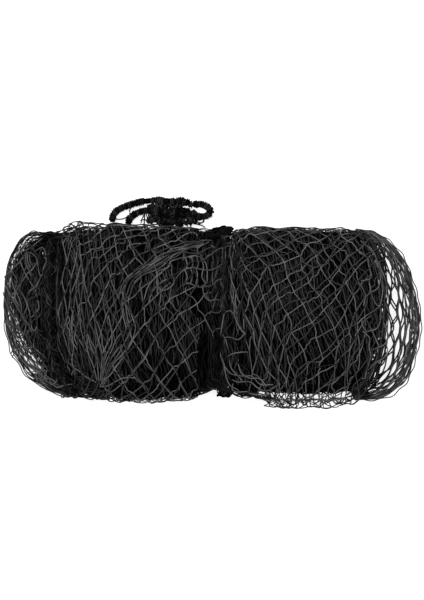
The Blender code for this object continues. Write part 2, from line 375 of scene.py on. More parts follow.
def tube_object(name, strands, looks, sides=6):
    """One mesh of closed tubes. A strand is (points, normals, radius or radii, shade or shades from 0 to 1)."""
    turns = np.linspace(0, 2 * math.pi, sides, endpoint=False)
    cosine, sine = np.cos(turns), np.sin(turns)
    all_points, quads, caps, uv_rings, shades = [], [], [], [], []
    first = 0
    for points, up, radius, shade in strands:
        count = len(points)
        side, over = frames(points, up)
        radius = np.broadcast_to(np.asarray(radius, float), (count,))[:, None, None]
        ring = side[:, None, :] * cosine[None, :, None] + over[:, None, :] * sine[None, :, None]
        all_points.append((points[:, None, :] + radius * ring).reshape(-1, 3))
        uv_rings.append(lengths_along(points))
        shades.append(np.repeat(np.broadcast_to(np.asarray(shade, float), (count,)), sides))
        i = np.arange(count - 1)[:, None] * sides + np.arange(sides)[None, :] + first
        j = np.arange(count - 1)[:, None] * sides + (np.arange(sides)[None, :] + 1) % sides + first
        quads.append(np.stack([i, j, j + sides, i + sides], axis=2).reshape(-1, 4))
        caps.append(first + np.arange(sides)[::-1])
        caps.append(first + (count - 1) * sides + np.arange(sides))
        first += count * sides
    all_points, quads = np.concatenate(all_points), np.concatenate(quads)
    mesh = bpy.data.meshes.new(name)
    mesh.vertices.add(len(all_points))
    mesh.vertices.foreach_set("co", all_points.ravel())
    loops = np.concatenate([quads.ravel(), *caps])
    totals = np.concatenate([np.full(len(quads), 4), np.full(len(caps), sides)])
    starts = np.concatenate([[0], np.cumsum(totals)[:-1]])
    mesh.loops.add(len(loops))
    mesh.loops.foreach_set("vertex_index", loops.astype(np.int32))
    mesh.polygons.add(len(totals))
    mesh.polygons.foreach_set("loop_start", starts.astype(np.int32))
    mesh.polygons.foreach_set("loop_total", totals.astype(np.int32))
    mesh.update(calc_edges=True)
    layer = mesh.uv_layers.new(name="twine")
    u_of = np.concatenate([np.repeat(along, sides) for along in uv_rings])
    v_of = np.concatenate([np.tile(np.arange(sides) / sides, len(along)) for along in uv_rings])
    uv = np.stack([u_of[loops], v_of[loops]], axis=1)
    quad_v = uv[: 4 * len(quads), 1].reshape(-1, 4)
    wraps = quad_v.max(axis=1) - quad_v.min(axis=1) > 0.5
    quad_v[wraps] = np.where(quad_v[wraps] < 0.25, quad_v[wraps] + 1.0, quad_v[wraps])
    layer.data.foreach_set("uv", uv.ravel())
    shade_layer = mesh.attributes.new("shade", "FLOAT", "POINT")
    shade_layer.data.foreach_set("value", np.concatenate(shades).astype(np.float32))
    return mesh_object(name, mesh, looks)


# ---------------------------------------------------------------- materials


def node(tree, kind, **values):
    """A new node with these settings and these values on its own sockets."""
    made = tree.nodes.new(kind)
    for key, value in values.items():
        if hasattr(made, key):
            setattr(made, key, value)
        else:
            made.inputs[key].default_value = value
    return made


def maths(tree, operation, first, second=None, third=None):
    """A math node's result, from numbers or other nodes' results."""
    made = tree.nodes.new("ShaderNodeMath")
    made.operation = operation
    for socket, value in zip(made.inputs, (first, second, third)):
        if value is None:
            continue
        if isinstance(value, (int, float)):
            socket.default_value = value
        else:
            tree.links.new(value, socket)
    return made.outputs[0]


def braid_height(tree, pitch, turns):
    """A braid on the twine's own length and girth: two opposite helices, the higher one on top."""
    uv = node(tree, "ShaderNodeUVMap", uv_map="twine")
    parts = tree.nodes.new("ShaderNodeSeparateXYZ")
    tree.links.new(uv.outputs[0], parts.inputs[0])
    along = maths(tree, "MULTIPLY", parts.outputs["X"], 2 * math.pi / pitch)
    round_it = maths(tree, "MULTIPLY", parts.outputs["Y"], 2 * math.pi * turns)
    one = maths(tree, "SINE", maths(tree, "ADD", along, round_it))
    other = maths(tree, "SINE", maths(tree, "SUBTRACT", along, round_it))
    return maths(tree, "MAXIMUM", one, other)


def twine_material(name, dark, light, roughness, pitch, turns, bump, gloss):
    """Braided black twine: the shade attribute darkens it from strand to strand and along each, partly at random and
    partly as painted shade; the braid is in bump, and its raised ridges are painted lighter as a painted highlight.
    """
    made = bpy.data.materials.new(name)
    made.use_nodes = True
    tree = made.node_tree
    shader = tree.nodes["Principled BSDF"]
    shader.inputs["Specular IOR Level"].default_value = gloss
    height = braid_height(tree, pitch, turns)
    coordinates = tree.nodes.new("ShaderNodeTexCoord")
    wear = node(tree, "ShaderNodeTexNoise", Scale=38.0, Detail=3.0)
    tree.links.new(coordinates.outputs["Object"], wear.inputs["Vector"])
    fibre = node(tree, "ShaderNodeTexNoise", Scale=900.0, Detail=2.0)
    tree.links.new(coordinates.outputs["Object"], fibre.inputs["Vector"])
    shade = node(tree, "ShaderNodeAttribute", attribute_name="shade")
    mixed = maths(tree, "MULTIPLY_ADD", wear.outputs["Fac"], 0.30, -0.24)
    # the shade attribute darkens the colour: random tone from strand to strand, and painted shade of deeper layers,
    # creases and twines that dip under others
    mixed = maths(tree, "MULTIPLY_ADD", shade.outputs["Fac"], 0.80, mixed)
    # the braid's raised ridges painted lighter: a painted highlight
    mixed = maths(tree, "MULTIPLY_ADD", height, 0.16, mixed)
    mixed = maths(tree, "MULTIPLY_ADD", fibre.outputs["Fac"], 0.20, mixed)
    ramp = tree.nodes.new("ShaderNodeValToRGB")
    ramp.color_ramp.elements[0].color = (*dark, 1.0)
    ramp.color_ramp.elements[1].color = (*light, 1.0)
    tree.links.new(mixed, ramp.inputs["Fac"])
    tree.links.new(ramp.outputs["Color"], shader.inputs["Base Color"])
    rough = maths(tree, "MULTIPLY_ADD", wear.outputs["Fac"], 0.24, roughness - 0.12)
    tree.links.new(rough, shader.inputs["Roughness"])
    both = maths(tree, "MULTIPLY_ADD", fibre.outputs["Fac"], 0.8, height)
    lump = node(tree, "ShaderNodeBump", Strength=bump, Distance=0.0006)
    tree.links.new(both, lump.inputs["Height"])
    tree.links.new(lump.outputs["Normal"], shader.inputs["Normal"])
    return made


# ---------------------------------------------------------------- nets


def rows_of(rows):
    """{(A line, B line): (x, y)} from rows of (A line, first B line, places)."""
    return {(a, b + k): place for a, b, places in rows for k, place in enumerate(places)}


def open_net(skin, seed, rows, base, reach, keep, lift=0.0, wander=0.003, shade=(0.45, 1.0)):
    """An open diamond net laid on the skin.

    rows says where some of its knots lie, seen from above; the rest follow on smoothly and drift towards the base
    angles of its two families of bars. keep(points, owners) says which part of it stays.
    """
    draw = np.random.default_rng(seed)
    pins = {key: skin.chart_of(*place) for key, place in rows_of(rows).items()}
    first, second = (BAR * np.array([math.cos(a), math.sin(a)]) for a in np.radians(base))
    keys, at = np.array(list(pins), float), np.array(list(pins.values()))
    # bars of the A family step the B index, and the other way round
    origin = (at - keys[:, 1:] * first - keys[:, :1] * second).mean(axis=0)
    size = int(1.6 * max(reach) / BAR) + max(int(abs(keys).max()), 1)
    index, places = {}, []
    middle = at.mean(axis=0)
    for a in range(-size, size + 1):
        for b in range(-size, size + 1):
            q = origin + b * first + a * second
            if (a, b) in pins or (abs(q[0] - middle[0]) <= reach[0] and abs(q[1] - middle[1]) <= reach[1]):
                index[a, b] = len(places)
                places.append(q)
    knots = fit_knots(index, len(places), pins, first, second)
    bend_t, bend_s = Waves(seed + 1, 0.10, wander), Waves(seed + 2, 0.10, wander)
    knots = knots + np.stack([bend_t(*knots.T), bend_s(*knots.T)], axis=1)
    return lay_net(skin, draw, seed, index, knots, keep, lift, shade)


PIN_WEIGHT, LEAN_WEIGHT, STRAIGHT_WEIGHT = 4.0, 0.12, 1.0


def fit_knots(index, count, pins, first, second):
    """Least squares: pinned knots keep their places, lines run on straight, bars lean to the base."""
    rows, columns, values, right = [], [], [], []
    equation = 0

    def add(weight, terms, wish):
        nonlocal equation
        for which, factor in terms:
            rows.append(equation)
            columns.append(which)
            values.append(weight * factor)
        right.append((weight * wish[0], weight * wish[1]))
        equation += 1

    for (a, b), i in index.items():
        if (a, b) in pins:
            add(PIN_WEIGHT, ((i, 1.0),), pins[a, b])
        for step, wish in (((0, 1), first), ((1, 0), second)):
            j = index.get((a + step[0], b + step[1]))
            k = index.get((a - step[0], b - step[1]))
            if j is not None:
                add(LEAN_WEIGHT, ((j, 1.0), (i, -1.0)), wish)
            if j is not None and k is not None:
                add(STRAIGHT_WEIGHT, ((j, 1.0), (i, -2.0), (k, 1.0)), (0.0, 0.0))
    matrix = np.zeros((count, count))
    rows, columns, values, right = map(np.array, (rows, columns, values, right))
    target = np.zeros((count, 2))
    order = np.argsort(rows, kind="stable")
    rows, columns, values = rows[order], columns[order], values[order]
    starts = np.searchsorted(rows, np.arange(equation + 1))
    for e in range(equation):
        c, v = columns[starts[e] : starts[e + 1]], values[starts[e] : starts[e + 1]]
        matrix[np.ix_(c, c)] += np.outer(v, v)
        target[c] += v[:, None] * right[e]
    matrix[np.arange(count), np.arange(count)] += 1e-6
    return np.linalg.solve(matrix, target)


BAR_PARTS = 6
LOOSEST_BAR, TIGHTEST_BAR = 1.08, 0.45  # a bar's length in the net, as a part of its own
SLACK = 1.015
KNOT_SWELL = 0.22  # how much thicker the twine is at a knot


def lay_net(skin, draw, seed, index, knots, keep, lift, shade):
    """Splits the bars into short lengths, relaxes them on the skin, and returns the strands."""
    ids, chart, chains, lengths = {}, [], [], []

    def particle(key, place):
        if key not in ids:
            ids[key] = len(chart)
            chart.append(place)
        return ids[key]

    for family, step in ((0, (0, 1)), (1, (1, 0))):
        for a, b in [k for k in index if (k[0] - step[0], k[1] - step[1]) not in index]:
            chain, sizes = [particle((a, b), knots[index[a, b]])], []
            while (a + step[0], b + step[1]) in index:
                here, there = knots[index[a, b]], knots[index[a + step[0], b + step[1]]]
                size = np.clip(SLACK * np.linalg.norm(there - here), TIGHTEST_BAR * BAR, LOOSEST_BAR * BAR)
                for m in range(1, BAR_PARTS):
                    chain.append(particle((a, b, family, m), here + (there - here) * m / BAR_PARTS))
                a, b = a + step[0], b + step[1]
                chain.append(particle((a, b), there))
                sizes += [size / BAR_PARTS] * BAR_PARTS
            if len(chain) > 1:
                chains.append(np.array(chain))
                lengths.append(np.array(sizes))
    chart = np.array(chart)
    ripple_t, ripple_s = Waves(seed + 3, 0.045, 0.0010), Waves(seed + 4, 0.045, 0.0010)
    loose = chart + np.stack([ripple_t(*chart.T), ripple_s(*chart.T)], axis=1)
    points, _, owners, inside = skin.place(*loose.T)
    is_knot = np.zeros(len(points), bool)
    is_knot[[i for key, i in ids.items() if len(key) == 2]] = True
    pairs = np.concatenate([np.stack([c[:-1], c[1:]], axis=1) for c in chains])
    sizes = np.concatenate(lengths)
    hinges = np.concatenate([np.stack([c[:-2], c[2:]], axis=1) for c in chains])
    spans = np.concatenate([s[:-1] + s[1:] for s in lengths])
    use, use_hinge = inside[pairs].all(axis=1), inside[hinges].all(axis=1)
    points = relax(skin, points, pairs[use], sizes[use], hinges[use_hinge], spans[use_hinge], is_knot, inside)
    height = Waves(seed + 5, 0.07, 0.002)
    _, normals = skin.onto(points, 0.0)
    depth = loose_depth(points) if lift < 0 else 0.0
    points, normals = skin.onto(points, sunk(lift, normals) - depth + height(*chart.T))
    good = inside & keep(points, owners)
    strands = []
    for chain in chains:
        weight = draw.uniform(*shade)
        for start, end in runs(good[chain]):
            part = chain[start:end]
            line = smooth(points[part])
            up = smooth(normals[part])
            swell = np.zeros(len(line))
            swell[0::2][is_knot[part]] = 1.0
            swell = np.maximum(swell, 0.5 * np.maximum(np.roll(swell, 1), np.roll(swell, -1)))
            radius = TWINE / 2 * (1 + KNOT_SWELL * swell)
            strands.append((above_floor(line, TWINE / 2), up, radius, weight))
    return strands


ROUNDS = 70
KNOT_HOLD = 0.25
STIFF_SPAN = 0.955  # a bend gives way until its ends are this part of their length apart


def relax(skin, points, pairs, lengths, hinges, spans, is_knot, near):
    """Position-based: segments take their length, bends stay soft, knots keep near their places."""
    target = points.copy()
    count = len(points)
    share = np.maximum(np.bincount(pairs.ravel(), minlength=count), 1)
    bend_share = np.maximum(np.bincount(hinges.ravel(), minlength=count), 1)

    def push(two, wanted, only_short, shares, strength):
        a, b = two.T
        gap = points[b] - points[a]
        size = np.maximum(np.linalg.norm(gap, axis=1), 1e-9)
        error = np.minimum(size - wanted, 0.0) if only_short else size - wanted
        move = gap * (strength * error / size)[:, None]
        for axis in range(3):
            total = np.bincount(a, move[:, axis], count) - np.bincount(b, move[:, axis], count)
            points[:, axis] += total / shares

    for turn in range(ROUNDS):
        push(pairs, lengths, False, share, 0.9)
        push(hinges, STIFF_SPAN * spans, True, bend_share, 0.35)
        points[is_knot] += KNOT_HOLD * (target[is_knot] - points[is_knot])
        if turn % 15 == 14:
            points[near], _ = skin.onto(points[near], 0.0)
    return points


def strip(
    skin, seed, route, count, pitch, lift, cross=0.42, shade=(0.3, 1.0), wobble=0.0015, keep=None, radius=TWINE / 2
):
    """Twines side by side along a route seen from above, touching at every other knot.

    pitch is one distance between them, or several for places evenly along the route.
    """
    draw = np.random.default_rng(seed)
    step = 0.005
    line = resampled([skin.chart_of(x, y) for x, y in route], step)
    side = sideways(line)
    along = np.arange(len(line)) * step
    pitches = np.interp(np.linspace(0, 1, len(line)), np.linspace(0, 1, np.size(pitch)), np.atleast_1d(pitch))
    wave, height = Waves(seed + 1, 0.06, wobble), Waves(seed + 2, 0.05, 0.0012)
    strands = []
    for k in range(count):
        shift = pitches * (k - (count - 1) / 2 + cross * np.sin(math.pi * along / BAR + k * math.pi + 0.2 * k))
        place = line + side * (shift + wave(along, np.full(len(along), 0.1 * k)))[:, None]
        points, normals, owners, inside = skin.place(*place.T)
        depth = loose_depth(points) if keep else 0.0
        good = inside & keep(points, owners) if keep else np.full(len(points), True)
        points = points + normals * (sunk(lift, normals) - depth + height(*place.T) + 0.001 * (k % 2))[:, None]
        weight = dappled(seed + 3 * k, along, draw.uniform(*shade))
        for start, end in runs(good, 5):
            part = above_floor(points[start:end], TWINE / 2)
            strands.append((part, normals[start:end], radius, weight[start:end]))
    return strands


FOLD_LIFTS = (-0.0075, -0.0035)
FOLD_SHADES = (0.10, 0.85)
FOLD_PITCHES = (0.0066, 0.0094)


def panels(skin, seed, x_range, tilt, count, keep):
    """Folds of the inner netting: bunches of near-parallel twines that overlap, each bunch with its own lean."""
    draw = np.random.default_rng(seed)
    strands = []
    for k in range(count):
        x = x_range[0] + (x_range[1] - x_range[0]) * (k + draw.uniform(0.0, 1.0)) / count
        y = (-0.11, 0.10, -0.02)[k % 3] + draw.uniform(-0.04, 0.04)
        reach = draw.uniform(0.07, 0.12)
        lean = math.radians(tilt + draw.normal(0, 8))
        bend = draw.normal(0, 0.010)
        route = []
        for u in np.linspace(-1, 1, 7):
            place = (x + u * reach * math.sin(lean) + bend * (1 - u * u), y + u * reach * math.cos(lean))
            route.append((place[0], float(np.clip(place[1], -0.205, 0.165))))
        bright = draw.uniform(*FOLD_SHADES)
        size = (int(draw.integers(4, 8)), draw.uniform(*FOLD_PITCHES), draw.uniform(*FOLD_LIFTS))
        own = {"shade": (0.4 * bright, bright), "keep": keep, "radius": FOLD_TWINE / 2}
        strands += strip(skin, seed + 7 * k, route, *size, cross=0.24, wobble=0.002, **own)
    return strands


def sunk(lift, normals):
    """An inner layer's lift, less deep on the steep sides, where the layers are drawn together."""
    return np.minimum(lift, 0.0) * (0.40 + 0.60 * np.abs(normals[:, 2])) + np.maximum(lift, 0.0)


def dappled(seed, along, shade, swing=0.35):
    """Painted shade along a twine: darker where it dips under its neighbours, lighter where it comes up again."""
    return np.clip(shade * (1 + 1.6 * Waves(seed, 0.05, swing).on(along)), 0.0, 1.0)


def loose_depth(points):
    """How much deeper the inner layers lie where the cover stands off them in see-through loops."""
    x, y = points[..., 0], points[..., 1]
    loops = eased((x - 0.09) / 0.03) * (1 - eased((x - 0.33) / 0.03))
    bottom = (0.001 + 0.014 * loops) * eased((-0.190 - y) / 0.03)
    top_left = 0.011 * eased((y - 0.140) / 0.03) * eased((-0.245 - x) / 0.02)
    top_left = top_left + 0.007 * eased((y - 0.105) / 0.03) * eased((-0.420 - x) / 0.02)
    left = 0.006 * eased((-0.465 - x) / 0.03) + 0.011 * eased((-0.120 - y) / 0.04) * eased((-0.335 - x) / 0.03)
    return bottom + top_left + left


def closed_net(skin, seed, x_range, tilt, pitch, lift, keep, warp, shade):
    """A net drawn shut: near-parallel twines that touch at every other knot, laid across the bundle."""
    draw = np.random.default_rng(seed)
    t_low, t_high = (float(np.interp(x, skin.xs, skin.ts)) for x in x_range)
    middle = (t_low + t_high) / 2
    along_dir = np.array([math.sin(tilt), math.cos(tilt)])
    across_dir = np.array([math.cos(tilt), -math.sin(tilt)])
    longest = 0.36
    half_width = (t_high - t_low) / 2 + longest * abs(math.sin(tilt))
    bend_t, bend_s = Waves(seed + 1, 0.16, warp), Waves(seed + 2, 0.16, warp)
    small_t, rise = Waves(seed + 3, 0.05, 0.0022), Waves(seed + 4, 0.06, 0.0022)
    strands = []
    along = np.arange(-longest, longest, 0.008)
    for k in range(-int(half_width / pitch), int(half_width / pitch) + 1):
        zigzag = 0.42 * pitch * np.sin(math.pi * along / BAR + k * math.pi + 0.15 * k)
        place = np.outer(along, along_dir) + np.outer(k * pitch + zigzag, across_dir) + [middle, 0.0]
        place = place + np.stack([bend_t(*place.T) + small_t(*place.T), bend_s(*place.T)], axis=1)
        points, normals, owners, inside = skin.place(*place.T)
        points = points + normals * (sunk(lift, normals) - loose_depth(points) + rise(*place.T))[:, None]
        good = inside & keep(points, owners) & (place[:, 0] > t_low) & (place[:, 0] < t_high)
        for start, end in runs(good, 4):
            line = above_floor(points[start:end], TWINE / 2)
            weight = dappled(seed + k, along[start:end], draw.uniform(*shade))
            strands.append((line, normals[start:end], TWINE / 2, weight))
    return strands


# ---------------------------------------------------------------- ropes


def transported(points, closed):
    """A frame along a line that turns no more than it must."""
    ahead = np.roll(points, -1, axis=0) - np.roll(points, 1, axis=0)
    tangent = units(ahead if closed else np.gradient(points, axis=0))
    side = np.empty_like(points)
    seed = np.array([0.0, 0.0, 1.0]) if abs(tangent[0, 2]) < 0.9 else np.array([1.0, 0.0, 0.0])
    side[0] = np.cross(tangent[0], seed)
    side[0] /= np.linalg.norm(side[0])
    for i in range(1, len(points)):
        flat = side[i - 1] - tangent[i] * (side[i - 1] @ tangent[i])
        side[i] = flat / np.linalg.norm(flat)
    over = np.cross(side, tangent)
    if closed:
        last = side[-1] - tangent[0] * (side[-1] @ tangent[0])
        twist = math.atan2(last @ over[0], last @ side[0])
        turn = -twist * np.arange(len(points))[:, None] / len(points)
        side, over = side * np.cos(turn) + over * np.sin(turn), over * np.cos(turn) - side * np.sin(turn)
    return side, over


def rope_object(name, ropes, looks, sides=22, relief=0.10, plaits=4, pitch=0.026, seed=1, rough=0.04):
    """Braided rope: a skin whose radius rises and falls with the plaits. A rope is (points, radius, closed)."""
    draw = np.random.default_rng(seed)
    verts, faces, uvs = [], [], []
    first = 0
    turns = np.arange(sides) / sides
    for points, radius, closed in ropes:
        count = len(points)
        side, over = transported(points, closed)
        steps = np.linalg.norm(np.diff(points, axis=0), axis=1)
        along = np.concatenate([[0], np.cumsum(steps)])
        phase = 2 * math.pi * along[:, None] / pitch
        plait = np.maximum(
            np.sin(phase + 2 * math.pi * plaits * turns), np.sin(-phase + 2 * math.pi * plaits * turns)
        )
        lump = blurred(draw.normal(0, 1, (count, sides)), 3)
        lump = (lump + np.roll(lump, 1, axis=1) + np.roll(lump, -1, axis=1)) / 2
        size = radius * (1 - relief + relief * plait + rough * lump)
        angle = 2 * math.pi * turns
        ring = side[:, None] * np.cos(angle)[None, :, None] + over[:, None] * np.sin(angle)[None, :, None]
        verts.append((points[:, None] + size[:, :, None] * ring).reshape(-1, 3))
        rounds = count if closed else count - 1
        for i in range(rounds):
            for j in range(sides):
                k = (j + 1) % sides
                low, high = first + i * sides, first + (i + 1) % count * sides
                faces.append((low + j, low + k, high + k, high + j))
                next_along = along[i + 1] if i + 1 < count else along[-1] + steps[-1]
                a, b = j / sides, (j + 1) / sides
                uvs += [(along[i], a), (along[i], b), (next_along, b), (next_along, a)]
        if not closed:
            faces.append(tuple(first + j for j in range(sides))[::-1])
            faces.append(tuple(first + (count - 1) * sides + j for j in range(sides)))
            uvs += [(0.0, 0.0)] * (2 * sides)
        first += count * sides
    mesh = bpy.data.meshes.new(name)
    mesh.from_pydata(np.concatenate(verts).tolist(), [], faces)
    mesh.uv_layers.new(name="twine").data.foreach_set("uv", np.array(uvs, float).ravel())
    shades = np.full(len(mesh.vertices), 0.5, np.float32)
    mesh.attributes.new("shade", "FLOAT", "POINT").data.foreach_set("value", shades)
    return mesh_object(name, mesh, looks)


HITCH_PITCH = 0.0042  # how far a hitch moves along its rope in one turn


def hitches(points, radius, spacing, seed):
    """Net twine hitched round a rope: short wraps at uneven places along it."""
    draw = np.random.default_rng(seed)
    side, over = transported(points, False)
    along = lengths_along(points)
    strands = []
    at = draw.uniform(0.2, 0.6) * spacing
    while at < along[-1] - 0.004:
        turn = np.linspace(0, 2 * math.pi * draw.uniform(1.1, 2.1), 26)
        place = at + (turn - turn.mean()) / (2 * math.pi) * HITCH_PITCH
        k = np.interp(place, along, np.arange(len(points)))
        low = np.clip(k.astype(int), 0, len(points) - 2)
        mix = (k - low)[:, None]
        centre = points[low] * (1 - mix) + points[low + 1] * mix
        ring = side[low] * np.cos(turn + at)[:, None] + over[low] * np.sin(turn + at)[:, None]
        line = centre + ring * (radius * draw.uniform(1.0, 1.26))
        strands.append((above_floor(line, HITCH_TWINE / 2), ring, HITCH_TWINE / 2, draw.uniform(0.0, 1.0) ** 2))
        at += spacing * draw.uniform(0.6, 1.4)
    return strands


def knot_line(centre, half, waves, phases, count):
    """A closed tangled line that fills a box: each coordinate swings at its own rate."""
    u = np.linspace(0, 2 * math.pi, count, endpoint=False)
    swing = np.stack([np.cos(w * u + p) for w, p in zip(waves, phases)], axis=1)
    long = np.maximum(np.linalg.norm(swing, axis=1), 1e-6)
    rounded = swing * (np.abs(swing).max(axis=1) / long)[:, None]
    return np.array(centre) + rounded * np.array(half)


def knot_object(name, node_name, radius, waves, phases, looks, inward):
    """A tie's knot: a rope tangled in its packed box, which may lie further in under the netting."""
    low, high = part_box(node_name)
    half = [(b - a) / 2 - radius for a, b in zip(low, high)]
    centre = [(a + b) / 2 for a, b in zip(low, high)]
    centre[1] += inward
    line = knot_line(centre, half, waves, phases, 260)
    return rope_object(name, [(line, radius, True)], looks, sides=12, plaits=3, pitch=0.012)


def ring_of(node_name, count):
    """The centre line of a tie's packed ring: the mean of its points in each sector round its middle."""
    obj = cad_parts[node_name]
    points = np.array([obj.matrix_world @ v.co for v in obj.data.vertices])
    low, high = points.min(axis=0), points.max(axis=0)
    middle = (low + high) / 2
    reach = (high - low) / 2
    angle = np.arctan2((points[:, 2] - middle[2]) / reach[2], (points[:, 1] - middle[1]) / reach[1])
    at = np.linspace(-math.pi, math.pi, 72, endpoint=False)
    apart = (angle[None, :] - at[:, None] + math.pi) % (2 * math.pi) - math.pi
    weight = np.exp(-0.5 * (apart / math.radians(4)) ** 2)
    ring = weight @ points / weight.sum(axis=1, keepdims=True)
    ring = resampled(np.vstack([ring, ring[:1]]), 0.004)
    size = np.linalg.norm(np.diff(ring, axis=0), axis=1).sum()
    return resampled(ring, size / count)[:-1]


def hank_line(node_name, radius):
    """A long oval hank: turns that wind in and out, layer on layer."""
    low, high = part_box(node_name)
    gap = 2 * radius + 0.0006
    layers = int((high.z - low.z) // gap)
    turns = 3
    u = np.arange(0, layers * turns, 1 / 48)
    layer = u // turns
    part = u / turns - layer
    inward = np.where(layer % 2 == 0, part, 1 - part) * turns * gap
    a = (high.x - low.x) / 2 - radius - inward
    b = (high.y - low.y) / 2 - radius - inward
    angle = 2 * math.pi * u
    power = 0.55
    x = a * np.sign(np.cos(angle)) * np.abs(np.cos(angle)) ** power
    y = b * np.sign(np.sin(angle)) * np.abs(np.sin(angle)) ** power
    z = low.z + radius + gap * (layer + eased((part - 0.88) / 0.12))
    z = np.minimum(z, high.z - radius)
    line = np.stack([(low.x + high.x) / 2 + x, (low.y + high.y) / 2 + y, z], axis=1)
    return resampled(blurred(line, 4), 0.008)


def around(line):
    """For a tie's ring: its line from the floor up over the top and down, with the ways out and aside."""
    start = int(line[:, 2].argmin())
    line = np.roll(line, -start, axis=0)
    tangent = units(np.roll(line, -1, axis=0) - np.roll(line, 1, axis=0))
    aside = units(np.array([1.0, 0.0, 0.0]) - tangent * tangent[:, :1])
    out = np.cross(tangent, aside)
    middle = line.mean(axis=0)
    if ((line - middle) * out).sum() < 0:
        out = -out
    return line, out, aside


def sleeve(line, radius, half_width, count, seed, lift, shade):
    """Bunched twines that run with a tie over its rope and beside it, and half bury it."""
    draw = np.random.default_rng(seed)
    line, out, aside = around(line)
    step = float(np.linalg.norm(line[1] - line[0]))
    every = max(int(0.005 / step), 1)
    line, out, aside = line[::every], out[::every], aside[::every]
    along = np.arange(len(line)) * step * every
    pitch = 2 * half_width / (count - 1)
    strands = []
    for k in range(count):
        wave, height = Waves(seed + 10 + k, 0.09, 0.003), Waves(seed + 40 + k, 0.05, 0.0015)
        swing = np.sin(math.pi * along / draw.uniform(0.022, 0.034) + k * math.pi + draw.uniform(0, 1))
        shift = -half_width + pitch * (k + draw.uniform(0.6, 1.5) * swing) + wave.on(along)
        rise = -radius + 0.002 + 2 * radius * np.exp(-((shift / (1.25 * radius)) ** 2)) + lift
        points = line + aside * shift[:, None] + out * (rise + height.on(along))[:, None]
        first = int(draw.integers(0, 6))
        last = len(line) - int(draw.integers(1, 6))
        weight = dappled(seed + 60 + k, along, draw.uniform(*shade), 0.5)
        strands.append((above_floor(points, TWINE / 2)[first:last], out[first:last], TWINE / 2, weight[first:last]))
    return strands


def tangle(centre, half, count, seed, radius, shade, spins=(3, 5)):
    """Loose twine in a lump: closed lines that wander through a box."""
    draw = np.random.default_rng(seed)
    strands = []
    for _ in range(count):
        waves = draw.integers(spins[0], spins[1] + 1, 3) + np.array([0, 1, 2])
        size = np.array(half) * draw.uniform(0.7, 1.0, 3)
        spot = np.array(centre) + np.array(half) * draw.uniform(-0.12, 0.12, 3)
        line = knot_line(spot, size, waves, draw.uniform(0, 6.28, 3), 26 * int(waves.max()))
        up = line - np.array(centre) + 1e-4
        weight = dappled(seed + len(strands), lengths_along(line), draw.uniform(*shade) ** 1.6, 0.8)
        strands.append((above_floor(line[:-3], radius), up[:-3], radius, weight[:-3]))
    return strands


# ---------------------------------------------------------------- where things lie, seen from above

# the bow's rope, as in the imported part
BOW_OUTER_ROUTE = [
    (-0.2415, 0.19, 0.012), (-0.242, 0.203, 0.009), (-0.234, 0.215, 0.0075), (-0.216, 0.225, 0.0075),
    (-0.194, 0.2325, 0.008), (-0.17, 0.2385, 0.009), (-0.1475, 0.241, 0.0115),
]
BOW_INNER_ROUTE = [
    (-0.202, 0.182, 0.013), (-0.203, 0.193, 0.009), (-0.196, 0.203, 0.008), (-0.185, 0.21, 0.008),
    (-0.17, 0.215, 0.01), (-0.149, 0.218, 0.015),
]
# where the inner arm's rope runs on inside the tangle
BOW_INNER_END = [(-0.132, 0.2165, 0.013), (-0.112, 0.206, 0.01)]
BOW_RIGHT_ROUTE = [
    (-0.047, 0.229, 0.018), (-0.034, 0.233, 0.013), (-0.019, 0.23, 0.009), (-0.008, 0.222, 0.0075),
    (-0.005, 0.213, 0.0075), (-0.012, 0.205, 0.008), (-0.026, 0.202, 0.011), (-0.045, 0.204, 0.016),
]

ROPE_LOW = 0.0079  # the bow's ropes' lowest middle line, on their hitches
# the two ropes inside the tangle, between the arms' ends
BOW_THROUGH = [(-0.128, 0.2415, 0.016), (-0.105, 0.236, 0.026), (-0.082, 0.2405, 0.026), (-0.062, 0.236, 0.021)]
BOW_BACK = [(-0.09, 0.199, 0.012), (-0.066, 0.203, 0.013)]
# lumps of the bow's tangle, from its top rope down to the lobe's edge
BOW_LUMPS = [
    (-0.13, 0.231, 0.016), (-0.113, 0.234, 0.02), (-0.094, 0.229, 0.022), (-0.074, 0.235, 0.02),
    (-0.121, 0.216, 0.018), (-0.101, 0.212, 0.022), (-0.084, 0.217, 0.022), (-0.067, 0.212, 0.018),
    (-0.133, 0.196, 0.012), (-0.115, 0.193, 0.016), (-0.096, 0.194, 0.018), (-0.078, 0.191, 0.016),
    (-0.063, 0.195, 0.014), (-0.146, 0.223, 0.013), (-0.141, 0.209, 0.013), (-0.15, 0.193, 0.012),
    (-0.051, 0.193, 0.012), (-0.121, 0.189, 0.011), (-0.101, 0.19, 0.011), (-0.08, 0.188, 0.011),
    (-0.048, 0.208, 0.011),
]
